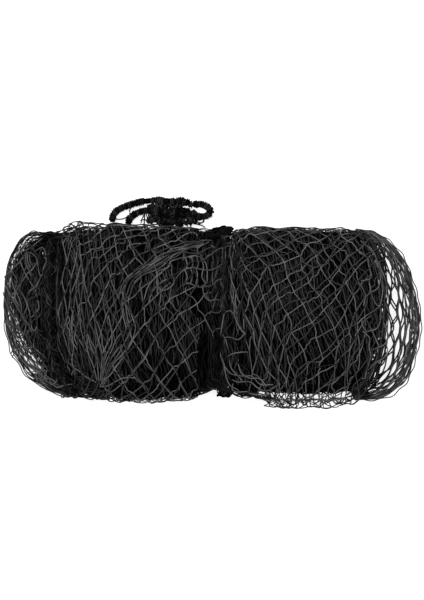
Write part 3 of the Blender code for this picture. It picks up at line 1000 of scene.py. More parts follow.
# thin twines caught between the bow's arms
BOW_TWINES = [
    [(-0.04, 0.204, 0.008), (-0.03, 0.202, 0.006), (-0.022, 0.198, 0.006), (-0.021, 0.19, 0.006),
     (-0.03, 0.187, 0.008), (-0.042, 0.19, 0.012)],
    [(-0.05, 0.206, 0.012), (-0.042, 0.197, 0.008), (-0.036, 0.19, 0.007), (-0.03, 0.184, 0.012)],
    [(-0.1985, 0.232, 0.009), (-0.199, 0.222, 0.008), (-0.202, 0.213, 0.008)],
    [(-0.233, 0.196, 0.008), (-0.218, 0.197, 0.006), (-0.205, 0.203, 0.008)],
    [(-0.164, 0.216, 0.012), (-0.166, 0.206, 0.008), (-0.171, 0.196, 0.012), (-0.173, 0.186, 0.02)],
    [(-0.164, 0.216, 0.012), (-0.1645, 0.204, 0.008), (-0.165, 0.192, 0.012), (-0.165, 0.184, 0.02)],
    [(-0.163, 0.214, 0.012), (-0.159, 0.204, 0.008), (-0.157, 0.194, 0.012), (-0.157, 0.186, 0.02)],
    [(-0.175, 0.193, 0.01), (-0.165, 0.195, 0.008), (-0.156, 0.192, 0.01)],
    [(-0.043, 0.2, 0.012), (-0.033, 0.193, 0.006), (-0.023, 0.198, 0.005), (-0.024, 0.188, 0.008),
     (-0.04, 0.183, 0.016)],
    [(-0.048, 0.198, 0.014), (-0.038, 0.185, 0.008), (-0.026, 0.181, 0.01), (-0.018, 0.176, 0.022)],
    [(-0.086, 0.2, 0.014), (-0.083, 0.19, 0.014), (-0.082, 0.178, 0.026)],
    [(-0.08, 0.202, 0.014), (-0.077, 0.19, 0.014), (-0.079, 0.178, 0.026)],
    [(-0.07, 0.203, 0.014), (-0.066, 0.191, 0.014), (-0.06, 0.178, 0.026)],
    [(-0.062, 0.205, 0.014), (-0.059, 0.192, 0.014), (-0.052, 0.177, 0.026)],
    [(-0.12, 0.2, 0.014), (-0.118, 0.191, 0.014), (-0.123, 0.181, 0.024)],
    [(-0.105, 0.2, 0.014), (-0.102, 0.191, 0.014), (-0.099, 0.18, 0.024)],
]

# knots of the right lobe's cover: (A line, first B line, places); A lines rise to the right, B lines fall
RIGHT_ROWS = [
    (1, 3, [(0.086, 0.124), (0.123, 0.135), (0.152, 0.148), (0.181, 0.157)]),
    (2, -1, [(0.052, -0.027), (0.056, 0.012), (0.064, 0.05), (0.08, 0.076), (0.107, 0.097), (0.142, 0.116)]),
    (2, 5, [(0.174, 0.129), (0.196, 0.143), (0.221, 0.151)]),
    (3, -1, [(0.074, -0.076), (0.079, -0.025), (0.086, 0.017), (0.105, 0.047), (0.133, 0.07), (0.172, 0.09)]),
    (3, 5, [(0.202, 0.105), (0.228, 0.128), (0.252, 0.143)]),
    (4, -1, [(0.081, -0.121), (0.093, -0.076), (0.1, -0.025), (0.116, 0.011), (0.146, 0.038), (0.185, 0.057)]),
    (4, 5, [(0.215, 0.075), (0.244, 0.101), (0.263, 0.12)]),
    (5, -1, [(0.095, -0.171), (0.107, -0.123), (0.113, -0.073), (0.125, -0.024), (0.152, 0.005), (0.186, 0.015)]),
    (5, 5, [(0.223, 0.043), (0.249, 0.07), (0.272, 0.094)]),
    (6, 0, [(0.133, -0.163), (0.136, -0.115), (0.148, -0.067), (0.174, -0.033), (0.212, -0.013), (0.246, 0.016)]),
    (6, 6, [(0.275, 0.042), (0.298, 0.072), (0.311, 0.102), (0.343, 0.118)]),
    (7, 0, [(0.154, -0.194), (0.155, -0.157), (0.164, -0.108), (0.191, -0.076), (0.229, -0.049), (0.267, -0.024)]),
    (7, 6, [(0.294, 0.008), (0.318, 0.042), (0.334, 0.075), (0.363, 0.096)]),
    (8, 1, [(0.171, -0.184), (0.178, -0.154), (0.206, -0.115), (0.247, -0.091), (0.282, -0.07), (0.309, -0.031)]),
    (8, 7, [(0.333, 0.006), (0.35, 0.043), (0.376, 0.066)]),
    (9, 2, [(0.195, -0.185), (0.224, -0.157), (0.262, -0.131), (0.303, -0.105), (0.316, -0.071), (0.34, -0.026)]),
    (9, 8, [(0.358, 0.004), (0.373, 0.016)]),
    (10, 3, [(0.218, -0.198), (0.252, -0.179), (0.286, -0.154), (0.327, -0.117), (0.337, -0.073), (0.356, -0.043)]),
    (10, 9, [(0.38, -0.03)]),
    (11, 4, [(0.249, -0.211), (0.281, -0.194), (0.317, -0.163), (0.345, -0.125), (0.36, -0.078)]),
    (12, 6, [(0.317, -0.2), (0.343, -0.168), (0.371, -0.122)]),
]
# the middle lobe's cover left of the pleat
MIDDLE_ROWS = [
    (1, 1, [(-0.256, 0.11), (-0.232, 0.131), (-0.198, 0.143), (-0.161, 0.15), (-0.128, 0.164)]),
    (2, 1, [(-0.248, 0.078), (-0.224, 0.107), (-0.19, 0.128), (-0.153, 0.136), (-0.123, 0.151), (-0.094, 0.167)]),
    (3, 1, [(-0.232, 0.047), (-0.209, 0.08), (-0.18, 0.102), (-0.146, 0.119), (-0.111, 0.131), (-0.08, 0.147)]),
    (3, 7, [(-0.047, 0.159)]),
    (4, 1, [(-0.217, 0.003), (-0.196, 0.051), (-0.161, 0.076), (-0.128, 0.095), (-0.093, 0.116), (-0.063, 0.13)]),
    (4, 7, [(-0.029, 0.141), (0.014, 0.137)]),
    (1, -4, [(-0.33, -0.076), (-0.328, -0.034), (-0.317, 0.01), (-0.301, 0.053), (-0.284, 0.091)]),
    (2, -3, [(-0.321, -0.079), (-0.313, -0.033), (-0.297, 0.009), (-0.278, 0.05)]),
    (3, -3, [(-0.298, -0.125), (-0.297, -0.073), (-0.281, -0.036), (-0.261, 0.012)]),
    (4, -3, [(-0.28, -0.165), (-0.272, -0.12), (-0.264, -0.075), (-0.247, -0.034)]),
    (5, -1, [(-0.255, -0.122), (-0.237, -0.074)]),
    (5, -2, [(-0.268, -0.165)]),
    (0, -5, [(-0.353, -0.081), (-0.341, -0.035), (-0.331, 0.006), (-0.324, 0.056)]),
    (-1, -6, [(-0.376, -0.082), (-0.367, -0.035), (-0.349, 0.004), (-0.338, 0.053)]),
    (-2, -5, [(-0.37, 0.007), (-0.357, 0.049)]),
]
# the middle lobe's cover right of the pleat
INNER_ROWS = [
    (1, 3, [(-0.167, 0.027), (-0.127, 0.056), (-0.098, 0.076), (-0.071, 0.098), (-0.024, 0.098)]),
    (2, 3, [(-0.154, -0.009), (-0.122, 0.02), (-0.091, 0.045), (-0.062, 0.071), (-0.019, 0.07)]),
    (3, 3, [(-0.167, -0.057), (-0.135, -0.032), (-0.098, -0.001), (-0.066, 0.031), (-0.028, 0.032)]),
    (4, 2, [(-0.156, -0.132), (-0.136, -0.088), (-0.104, -0.062), (-0.071, -0.039), (-0.043, -0.001)]),
    (5, 2, [(-0.135, -0.167), (-0.118, -0.129), (-0.084, -0.1), (-0.05, -0.073), (-0.017, -0.042)]),
    (6, 3, [(-0.094, -0.163), (-0.065, -0.137), (-0.029, -0.115)]),
    (7, 4, [(-0.049, -0.172), (-0.015, -0.146)]),
    (3, 2, [(-0.185, -0.101)]),
]
# loops and arches of an inner fold, right of the pleat
ARCHES = [
    [(-0.128, 0.01), (-0.13, 0.06), (-0.122, 0.07), (-0.105, 0.076), (-0.098, 0.09), (-0.07, 0.099), (-0.046, 0.101)],
    [(-0.071, 0.093), (-0.06, 0.101), (-0.034, 0.102), (-0.021, 0.093), (-0.015, 0.079), (-0.014, 0.044),
     (-0.027, 0.032)],
    [(-0.1, 0.06), (-0.09, 0.048), (-0.096, 0.032), (-0.122, 0.022), (-0.131, 0.044)],
    [(-0.091, 0.044), (-0.078, 0.06), (-0.062, 0.073), (-0.04, 0.075), (-0.015, 0.07), (0.002, 0.072)],
    [(-0.071, 0.032), (-0.059, 0.04), (-0.046, 0.035), (-0.028, 0.03), (-0.009, 0.033)],
    [(-0.027, 0.096), (-0.022, 0.078), (-0.026, 0.055), (-0.018, 0.04)],
    [(-0.064, 0.098), (-0.06, 0.084), (-0.062, 0.072)],
    [(-0.05, 0.099), (-0.047, 0.086), (-0.05, 0.076)],
    [(-0.038, 0.1), (-0.034, 0.086), (-0.037, 0.076)],
    [(-0.066, 0.071), (-0.06, 0.056), (-0.063, 0.041)],
    [(-0.052, 0.073), (-0.048, 0.058), (-0.052, 0.04)],
    [(-0.04, 0.074), (-0.036, 0.058), (-0.04, 0.036)],
    [(-0.16, 0.0), (-0.15, 0.032), (-0.132, 0.052), (-0.118, 0.064)],
    [(-0.15, -0.01), (-0.14, 0.02), (-0.122, 0.04), (-0.108, 0.048)],
]
# the cover's twines at the dome's far edge
EDGE_TWINES = [
    [(0.338, 0.119), (0.359, 0.106), (0.365, 0.093), (0.37, 0.072), (0.374, 0.059), (0.368, 0.049), (0.348, 0.045)],
    [(0.35, 0.14), (0.368, 0.125), (0.381, 0.109), (0.39, 0.093), (0.399, 0.072), (0.406, 0.057), (0.411, 0.041),
     (0.417, 0.025)],
    [(0.384, 0.095), (0.393, 0.072), (0.396, 0.05), (0.388, 0.027), (0.371, 0.018), (0.359, 0.007), (0.354, -0.014)],
    [(0.396, 0.05), (0.402, 0.027), (0.399, 0.004), (0.393, -0.014), (0.379, -0.025), (0.354, -0.041),
     (0.338, -0.057)],
    [(0.411, 0.034), (0.412, 0.016), (0.406, 0.0), (0.411, -0.014), (0.418, -0.027)],
    [(0.393, -0.014), (0.397, -0.036), (0.393, -0.057), (0.384, -0.068), (0.37, -0.072), (0.359, -0.073),
     (0.351, -0.057), (0.35, -0.046)],
    [(0.408, -0.018), (0.403, -0.041), (0.406, -0.059), (0.416, -0.08), (0.411, -0.1), (0.393, -0.111),
     (0.372, -0.118)],
    [(0.411, -0.102), (0.415, -0.12), (0.406, -0.136), (0.384, -0.148), (0.37, -0.163)],
    [(0.361, -0.046), (0.37, -0.064), (0.379, -0.082), (0.388, -0.1), (0.393, -0.111)],
    [(0.368, 0.047), (0.372, 0.018), (0.384, -0.009), (0.395, -0.014)],
    [(0.351, -0.073), (0.368, -0.089), (0.368, -0.114), (0.372, -0.132), (0.365, -0.159), (0.359, -0.186)],
    [(0.393, 0.091), (0.399, 0.068), (0.402, 0.045), (0.406, 0.023), (0.407, 0.0)],
    [(0.417, -0.032), (0.416, -0.05), (0.411, -0.068), (0.407, -0.086), (0.413, -0.1)],
    [(0.393, -0.111), (0.39, -0.129), (0.384, -0.148), (0.379, -0.168), (0.37, -0.186)],
    [(0.371, 0.127), (0.384, 0.106), (0.389, 0.086), (0.393, 0.072)],
]
# the cover's twines over the left end
LEFT_TWINES = [
    [(-0.445, 0.111), (-0.432, 0.112), (-0.421, 0.104), (-0.417, 0.093), (-0.419, 0.084), (-0.427, 0.073),
     (-0.437, 0.064), (-0.448, 0.048), (-0.461, 0.03), (-0.468, 0.014), (-0.472, -0.001)],
    [(-0.427, 0.109), (-0.417, 0.098), (-0.414, 0.083), (-0.412, 0.067), (-0.407, 0.057), (-0.402, 0.065),
     (-0.402, 0.077), (-0.395, 0.09)],
    [(-0.456, 0.09), (-0.448, 0.072), (-0.437, 0.051), (-0.427, 0.035), (-0.419, 0.023), (-0.416, 0.009),
     (-0.411, -0.018), (-0.419, -0.03), (-0.429, -0.042)],
    [(-0.469, 0.046), (-0.461, 0.03), (-0.45, 0.014), (-0.442, -0.002), (-0.439, -0.015), (-0.444, -0.028),
     (-0.448, -0.042), (-0.442, -0.06), (-0.445, -0.076), (-0.449, -0.085)],
    [(-0.402, 0.064), (-0.411, 0.046), (-0.419, 0.031), (-0.432, 0.022), (-0.437, 0.009), (-0.439, -0.007),
     (-0.434, -0.023), (-0.431, -0.039), (-0.429, -0.055), (-0.427, -0.068), (-0.42, -0.073), (-0.417, -0.063)],
    [(-0.499, 0.054), (-0.485, 0.066), (-0.472, 0.077), (-0.458, 0.09), (-0.45, 0.102), (-0.445, 0.111)],
    [(-0.485, 0.08), (-0.472, 0.061), (-0.464, 0.046), (-0.469, 0.024), (-0.468, 0.003), (-0.458, -0.015)],
    [(-0.48, 0.056), (-0.474, 0.035), (-0.466, 0.019), (-0.457, 0.001), (-0.452, -0.02), (-0.454, -0.044),
     (-0.461, -0.06)],
    [(-0.495, 0.035), (-0.485, 0.019), (-0.472, -0.001), (-0.461, -0.02), (-0.448, -0.042), (-0.435, -0.06),
     (-0.427, -0.076)],
    [(-0.435, -0.073), (-0.44, -0.086), (-0.429, -0.102), (-0.43, -0.119)],
    [(-0.417, -0.073), (-0.421, -0.089), (-0.424, -0.11), (-0.416, -0.119), (-0.405, -0.129), (-0.395, -0.14),
     (-0.387, -0.152)],
    [(-0.472, -0.114), (-0.458, -0.119), (-0.445, -0.126), (-0.439, -0.137), (-0.439, -0.151)],
    [(-0.477, -0.137), (-0.466, -0.121), (-0.448, -0.113), (-0.432, -0.113), (-0.424, -0.11)],
    [(-0.435, -0.152), (-0.419, -0.158), (-0.4, -0.171), (-0.389, -0.187), (-0.379, -0.2), (-0.369, -0.208),
     (-0.353, -0.203), (-0.332, -0.2)],
    [(-0.495, -0.047), (-0.485, -0.063), (-0.476, -0.076), (-0.463, -0.089), (-0.453, -0.108), (-0.435, -0.121)],
    [(-0.498, -0.02), (-0.49, -0.042), (-0.479, -0.057), (-0.458, -0.071), (-0.442, -0.084)],
    [(-0.444, 0.109), (-0.442, 0.088), (-0.436, 0.072), (-0.429, 0.056)],
    [(-0.435, 0.108), (-0.432, 0.09), (-0.424, 0.077)],
    [(-0.44, 0.11), (-0.438, 0.092), (-0.432, 0.075)],
    [(-0.503, 0.019), (-0.493, -0.005), (-0.482, -0.028), (-0.466, -0.049), (-0.454, -0.076), (-0.449, -0.085)],
    [(-0.432, 0.125), (-0.421, 0.117), (-0.406, 0.125), (-0.398, 0.114), (-0.395, 0.09)],
    [(-0.464, 0.109), (-0.448, 0.117), (-0.432, 0.125), (-0.416, 0.138), (-0.406, 0.147)],
    [(-0.482, 0.093), (-0.469, 0.104), (-0.454, 0.117), (-0.44, 0.135), (-0.424, 0.149)],
    [(-0.449, -0.085), (-0.458, -0.102), (-0.472, -0.114), (-0.48, -0.129)],
    [(-0.458, -0.119), (-0.454, -0.139), (-0.443, -0.152), (-0.424, -0.166), (-0.406, -0.179), (-0.392, -0.192)],
]
# the cover's twines that run on over the middle waist, up to its tie
WAIST_TWINES = [
    [(0.006, 0.035), (0.007, 0.053), (0.011, 0.072), (0.022, 0.084), (0.028, 0.097)],
    [(-0.016, 0.072), (-0.004, 0.071), (0.009, 0.076), (0.021, 0.084), (0.035, 0.09)],
    [(-0.024, 0.094), (-0.008, 0.104), (0.011, 0.119), (0.023, 0.124), (0.039, 0.129)],
    [(0.012, 0.075), (0.012, 0.09), (0.009, 0.106), (0.011, 0.119)],
    [(0.03, 0.129), (0.031, 0.108), (0.029, 0.09), (0.028, 0.072)],
    [(-0.024, 0.034), (-0.019, 0.01), (-0.006, -0.002), (0.005, 0.002), (0.017, -0.001)],
    [(-0.022, 0.035), (-0.011, 0.032), (0.001, 0.036), (0.012, 0.047), (0.023, 0.049)],
    [(-0.019, -0.041), (-0.011, -0.031), (-0.002, -0.028), (0.011, -0.031), (0.021, -0.024)],
    [(-0.019, -0.042), (-0.006, -0.067), (0.0, -0.08), (0.001, -0.093)],
    [(0.0, -0.079), (0.005, -0.07), (0.019, -0.067)],
    [(-0.004, 0.131), (0.017, 0.115), (0.019, 0.108)],
    [(0.021, 0.147), (0.035, 0.152), (0.046, 0.149), (0.049, 0.141), (0.043, 0.136), (0.023, 0.133)],
    [(0.005, 0.002), (0.012, 0.02), (0.012, 0.047), (0.018, 0.066), (0.022, 0.084)],
    [(-0.002, -0.028), (0.003, -0.012), (0.005, 0.002)],
    [(0.0, 0.11), (0.002, 0.096), (-0.002, 0.082), (0.001, 0.07), (-0.001, 0.052), (0.001, 0.036)],
    [(0.018, 0.11), (0.017, 0.098), (0.02, 0.088)],
]
# knots of the left end's nets
LEFT_ROWS = [
    (1, 1, [(-0.477, 0.056), (-0.458, 0.089), (-0.428, 0.109)]),
    (2, 1, [(-0.459, 0.026), (-0.439, 0.065), (-0.416, 0.088)]),
    (3, 1, [(-0.439, -0.004), (-0.422, 0.029), (-0.403, 0.053)]),
    (4, 1, [(-0.431, -0.045), (-0.41, -0.014)]),
]
# the pleat that parts the two covers of the middle lobe, from the middle tie to the gathered point
PLEAT = [
    (-0.029, 0.14), (-0.063, 0.13), (-0.093, 0.1155), (-0.128, 0.095), (-0.161, 0.076), (-0.196, 0.051),
    (-0.209, 0.03), (-0.216, 0.003), (-0.211, -0.018), (-0.205, -0.04), (-0.198, -0.06), (-0.203, -0.08),
    (-0.211, -0.098), (-0.226, -0.125), (-0.249, -0.158), (-0.258, -0.181), (-0.271, -0.201),
]
# loops that hang down the right lobe's left edge
LADDER = [
    [(0.029, -0.031), (0.022, -0.069), (0.02, -0.118), (0.027, -0.163), (0.042, -0.203), (0.06, -0.219)],
    [(0.029, -0.031), (0.036, -0.027), (0.045, -0.028), (0.054, -0.037), (0.063, -0.062), (0.076, -0.082)],
    [(0.027, -0.089), (0.045, -0.087), (0.064, -0.09), (0.074, -0.08)],
    [(0.033, -0.091), (0.038, -0.131), (0.042, -0.149), (0.054, -0.172), (0.07, -0.192)],
    [(0.036, -0.134), (0.044, -0.128), (0.057, -0.126), (0.079, -0.126)],
    [(0.027, -0.16), (0.045, -0.174), (0.065, -0.1765), (0.089, -0.178), (0.099, -0.187), (0.118, -0.198),
     (0.142, -0.2)],
    [(0.049, -0.186), (0.065, -0.192), (0.091, -0.195), (0.11, -0.21), (0.126, -0.216), (0.147, -0.204)],
    [(0.049, -0.199), (0.05, -0.21), (0.063, -0.217), (0.085, -0.216), (0.103, -0.226), (0.137, -0.222)],
    [(0.06, -0.15), (0.068, -0.17), (0.09, -0.184), (0.108, -0.186), (0.126, -0.205)],
]


# where the right lobe's cover turns down beside the middle tie
LOBE_EDGE = [(0.052, 0.146), (0.045, 0.132), (0.043, 0.09), (0.045, 0.04), (0.048, 0.0), (0.052, -0.035)]
# the band that sweeps from the left tie to the gathered point, painted dark as shade
BAND = [(-0.372, -0.118), (-0.36, -0.15), (-0.338, -0.176), (-0.305, -0.194), (-0.272, -0.204)]
# twines of the middle lobe's cover that run together at the gathered point
FAN = [
    [(-0.3298, -0.0356), (-0.3298, -0.0806), (-0.326, -0.1105), (-0.3298, -0.133), (-0.326, -0.1592),
     (-0.2961, -0.1817), (-0.2736, -0.1929)],
    [(-0.311, -0.0394), (-0.3073, -0.0731), (-0.2961, -0.1068), (-0.2886, -0.133), (-0.2792, -0.1555),
     (-0.2717, -0.1892)],
    [(-0.2923, -0.0806), (-0.283, -0.1143), (-0.2717, -0.1367), (-0.2691, -0.163), (-0.268, -0.1892)],
    [(-0.2773, -0.0394), (-0.2717, -0.0731), (-0.2642, -0.103), (-0.2586, -0.1293), (-0.2605, -0.1555),
     (-0.2642, -0.1892)],
    [(-0.2436, -0.0356), (-0.2361, -0.0731), (-0.2361, -0.103), (-0.2474, -0.1255), (-0.2567, -0.1555),
     (-0.2605, -0.1892)],
    [(-0.2099, -0.0731), (-0.2249, -0.0918), (-0.2361, -0.118), (-0.2474, -0.1405), (-0.2549, -0.1667),
     (-0.2605, -0.1911)],
    [(-0.2024, -0.118), (-0.2174, -0.133), (-0.2361, -0.1555), (-0.2492, -0.1742), (-0.2586, -0.1929)],
    [(-0.2062, -0.133), (-0.223, -0.1517), (-0.2399, -0.1742), (-0.2549, -0.1892), (-0.2661, -0.2023)],
    [(-0.2661, -0.2042), (-0.2436, -0.2004), (-0.2174, -0.1855), (-0.1987, -0.1817), (-0.18, -0.183)],
]
# twines gathered round the middle tie and swept along the foot of the right lobe, painted dark as the crease's shade
CREASE = [(0.02, 0.152), (0.017, 0.11), (0.017, 0.05), (0.012, 0.0), (0.006, -0.04)]
HOLLOW = [(0.002, -0.035), (0.006, -0.08), (0.007, -0.13), (0.01, -0.17), (0.02, -0.205)]
SWEEP = [(-0.012, -0.186), (0.01, -0.203), (0.036, -0.215), (0.07, -0.222), (0.11, -0.228), (0.15, -0.234)]
# twines gathered beside the left tie
LEFT_SHOULDER = [(-0.446, 0.146), (-0.42, 0.147), (-0.396, 0.15), (-0.372, 0.149), (-0.35, 0.152)]
LEFT_CORNER = [(-0.382, 0.15), (-0.356, 0.158), (-0.328, 0.17), (-0.298, 0.18)]
LEFT_GATHER = [(-0.395, 0.14), (-0.398, 0.06), (-0.395, -0.03), (-0.388, -0.1), (-0.366, -0.16), (-0.336, -0.203)]
# loose twine tangled round the left knot and the upper knot
LEFT_LUMPS = [
    (-0.408, 0.142), (-0.41, 0.126), (-0.394, 0.152), (-0.382, 0.146), (-0.37, 0.15), (-0.386, 0.138), (-0.372, 0.14),
    (-0.362, 0.148),
]
UPPER_LUMPS = [
    (-0.004, 0.16), (0.008, 0.164), (0.024, 0.166), (0.032, 0.158), (0.016, 0.155), (0.03, 0.146), (0.004, 0.152),
]
SHOULDER = [(-0.034, 0.158), (-0.016, 0.16), (0.004, 0.16), (0.022, 0.154)]


# the core's right edge and the pocket's rim, seen from above, from the high side to the low side
DOME_EDGE = [
    (0.345, 0.168), (0.375, 0.15), (0.396, 0.11), (0.408, 0.06), (0.414, 0.0), (0.414, -0.05), (0.408, -0.1),
    (0.392, -0.15), (0.368, -0.195), (0.34, -0.228),
]
POCKET_EDGE = [
    (0.35, 0.172), (0.391, 0.164), (0.43, 0.142), (0.458, 0.108), (0.48, 0.064), (0.496, 0.01), (0.503, -0.05),
    (0.5, -0.105), (0.487, -0.158), (0.466, -0.202), (0.43, -0.233), (0.391, -0.242), (0.345, -0.243),
]


# the left end's inner layers stop at this line, and only loose twines run between it and the outline
LEFT_INNER = [
    (-0.414, 0.15), (-0.44, 0.138), (-0.462, 0.112), (-0.477, 0.075), (-0.482, 0.03), (-0.473, -0.025),
    (-0.462, -0.07), (-0.441, -0.11), (-0.408, -0.148), (-0.38, -0.18), (-0.34, -0.206), (-0.3, -0.215),
    (-0.262, -0.214),
]
LEFT_OUTLINE = [
    (-0.406, 0.163), (-0.436, 0.163), (-0.463, 0.143), (-0.488, 0.103), (-0.501, 0.054), (-0.502, -0.033),
    (-0.494, -0.086), (-0.48, -0.126), (-0.458, -0.162), (-0.428, -0.196), (-0.37, -0.227), (-0.31, -0.236),
    (-0.255, -0.226),
]


# ---------------------------------------------------------------- which parts of the nets are there

ON_TOP = 0.05  # above this height the cover lies on top, and below it down a side
UNDERSIDE = 0.03  # below this height it turns under the bundle


def x_on(line, y):
    """Where a line seen from above is at y. It is told from its high side to its low side."""
    places = np.array(line)[::-1]
    return np.interp(y, places[:, 1], places[:, 0])


def left_x(y):
    return np.where((y > 0.150) | (y < -0.190), -1.0, x_on(LEFT_INNER, y))


def left_cover(points, owners):
    x, y, z = points.T
    inside = (y > 0.150) | (x > x_on(LEFT_OUTLINE[:-2], y) - 0.001)
    # on top, the cover's twines are placed one by one
    placed = (z > ON_TOP) & (y > -0.150) & (y < 0.130)
    return (owners == LEFT_END) & inside & ~placed


def left_inside(points, owners):
    x, y = points[:, 0], points[:, 1]
    return (owners == LEFT_END) & (x > left_x(y)) & (y > -0.185) & (y < 0.150)


def waist_inside(points, owners):
    x, y = points[:, 0], points[:, 1]
    return (owners == LEFT_WAIST) & ((x > left_x(y)) & (y > -0.180) | (x > -0.365))


def only(*wanted):
    return lambda points, owners: np.isin(owners, wanted)


def right_cover(points, owners):
    x, y, z = points.T
    # at the far edge, the cover's twines are placed one by one
    placed = (x > 0.374) & (z > ON_TOP) & (y > -0.150) & (y < 0.125)
    return ((owners == RIGHT) | ((owners == POCKET) & (x < 0.424))) & ~placed


def right_inside(points, owners):
    return (owners == RIGHT) & (points[:, 0] < 0.402)


def left_of_pleat(points, owners):
    x, y, z = points.T
    band = np.array(BAND)
    below_band = (x < -0.275) & (y < np.interp(x, band[:, 0], band[:, 1]))
    wide = np.where((y > 0.140) | ((z < UNDERSIDE) & (y > 0)), 0.05, x_on(PLEAT, y) + 0.004)
    wide = np.where((z < UNDERSIDE) & (y <= 0), -0.27, wide)
    fanned = (y < -0.128) & (x > -0.322) & (z > UNDERSIDE)
    return (x < wide) & (owners == MIDDLE) & ~below_band & ~fanned


def hollow(points):
    """The dark hollow beside the middle tie, where only the innermost layers are."""
    x, y, z = points.T
    return (y < -0.035) & (z > 0.02) & (x > -0.014 - 0.020 * eased((-0.05 - y) / 0.06))


def middle_inside(points, owners):
    return (owners == MIDDLE) & ~hollow(points)


def drawn_in(strands):
    """The cover's loose loops at the upper left, pulled in a little."""
    for points, _, _, _ in strands:
        x, y = points[:, 0], points[:, 1]
        points[:, 1] -= 0.009 * eased((y - 0.160) / 0.03) * eased((-0.240 - x) / 0.02)
    return strands


def right_of_pleat(points, owners):
    x, y, z = points.T
    narrow = np.where(z < UNDERSIDE, -0.27, x_on(PLEAT, y) - 0.002)
    arched = (z > UNDERSIDE) & (x > -0.094) & (y > 0.036) & (y < 0.100)
    return (x > narrow) & ((y < 0.140) | (z < UNDERSIDE)) & ~hollow(points) & ~arched & (owners == MIDDLE)


# ---------------------------------------------------------------- cores, fringes and draped twines


def core(skin, name, columns, depth, looks):
    """The heart of a lobe, painted near black as shade: the skin drawn in and ridged along its length, closed at its
    ends.
    """
    rows = np.arange(0, FRACTIONS - 1, 2)
    points = []
    for k in columns:
        upright = np.abs(skin.normal[k, rows, 2])
        depths = depth[k] * (0.36 + 0.64 * upright) + loose_depth(skin.grid[k, rows])
        depths = depths + 0.001 * np.sin(rows * 1.3) * np.cos(k * 0.35)
        depths = np.minimum(depths, 0.42 * skin.grid[k, :, 2].max())
        ring = skin.grid[k, rows] - skin.normal[k, rows] * depths[:, None]
        ring[:, 2] = np.maximum(ring[:, 2], 0.003)
        ring[:, 0] = np.clip(skin.xs[k], left_x(ring[:, 1]) + 0.004, x_on(DOME_EDGE, ring[:, 1]) - 0.016)
        points.append(ring)
    count = len(rows)
    faces = []
    for ring in range(len(columns) - 1):
        for i in range(count):
            j = (i + 1) % count
            faces.append((ring * count + i, ring * count + j, (ring + 1) * count + j, (ring + 1) * count + i))
    faces.append(tuple(range(count))[::-1])
    faces.append(tuple((len(columns) - 1) * count + i for i in range(count)))
    mesh = bpy.data.meshes.new(name)
    mesh.from_pydata(np.concatenate(points).tolist(), [], faces)
    return mesh_object(name, mesh, looks)


def line_on(skin, route, lift):
    """A twine on the skin along a route seen from above."""
    place = resampled([skin.chart_of(x, y) for x, y in route], ROUTE_STEP)
    points, normals, _, _ = skin.place(*place.T)
    return above_floor(points + normals * lift, TWINE / 2), normals


def fringe(skin, seed, x_low, x_high, wavelength, reach, count, shade=(0.0, 0.5)):
    """The net's edge along the low side: garlands that touch the bundle and hang free of it between."""
    draw = np.random.default_rng(seed)
    strands = []
    for _ in range(count):
        x = x_low + draw.uniform(0, 1) * wavelength
        line = []
        while x < x_high:
            wide = wavelength * draw.uniform(0.7, 1.3)
            drop = reach * draw.uniform(0.5, 1.0)
            for u in np.linspace(0, 1, 12)[:-1]:
                px = x + wide * u
                edge = np.interp(px, skin.xs, skin.grid[:, :, 1].min(axis=1))
                hang = max(math.sin(math.pi * u), 0.0) ** 0.6
                line.append((px, edge + 0.003 - drop * hang, 0.002 + 0.010 * (1 - hang)))
            x += wide
        line = blurred(np.array(line), 1)
        # low shade values by default: painted shade on the garlands that hang at the bundle's foot
        strands.append((above_floor(line, TWINE / 2), upright(len(line)), TWINE / 2 * 0.9, draw.uniform(*shade)))
    return strands


TIE_NODES = ("left_tie_rope", "left_tie_knot", "middle_tie_rope", "middle_tie_upper_knot", "middle_tie_lower_knot")


class Tops:
    """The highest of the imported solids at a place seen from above."""

    def __init__(self):
        self.tree, _ = node_tree_of(NETTING_NODES + TIE_NODES)

    def drape(self, plan, lift, slack=3):
        """Lays a line seen from above over whatever is highest under it."""
        z = np.array([height_at(self.tree, x, y, 0.0) for x, y in plan])
        padded = np.pad(z, slack, mode="edge")
        z = np.max([padded[k : k + len(z)] for k in range(2 * slack + 1)], axis=0)
        z = blurred(z[:, None], slack)[:, 0]
        return above_floor(np.column_stack([plan, z + lift]), TWINE / 2), upright(len(plan))

    def routed(self, routes, lift, seed, shade, swing=0.2, sway_seed=None):
        """Twines laid one by one along their routes, and swaying a little from them with a sway_seed."""
        strands = []
        for number, route in enumerate(routes):
            line = resampled(route, ROUTE_STEP)
            along = ROUTE_STEP * np.arange(len(line))
            if sway_seed is not None:
                line = line + Waves(sway_seed + number, 0.05, 0.0012).on(along)[:, None]
            strands.append((*self.drape(line, lift), TWINE / 2, dappled(seed + number, along, shade, swing)))
        return strands


def bunch(tops, seed, route, count, width, lifts, shade, end_width=None, wobble=0.004):
    """Twines gathered side by side along a route seen from above, each wandering over its neighbours."""
    draw = np.random.default_rng(seed)
    line = resampled(route, ROUTE_STEP)
    side = sideways(line)
    along = np.arange(len(line)) * ROUTE_STEP
    widths = np.linspace(width, width if end_width is None else end_width, len(line))
    strands = []
    for k in range(count):
        wave, height = Waves(seed + 5 * k, 0.055, wobble), Waves(seed + 5 * k + 1, 0.04, 0.0012)
        place = (k + 0.5) / count - 0.5
        plan = line + side * (place * widths + wave.on(along) * widths / width)[:, None]
        points, up = tops.drape(plan, 0.0)
        points[:, 2] += draw.uniform(*lifts) + np.abs(height.on(along))
        first, last = int(draw.integers(0, 4)), len(line) - int(draw.integers(0, 4))
        weight = dappled(seed + 5 * k + 2, along, draw.uniform(*shade), 0.45)
        strands.append((points[first:last], up[first:last], TWINE / 2, weight[first:last]))
    return strands


# ---------------------------------------------------------------- the pieces

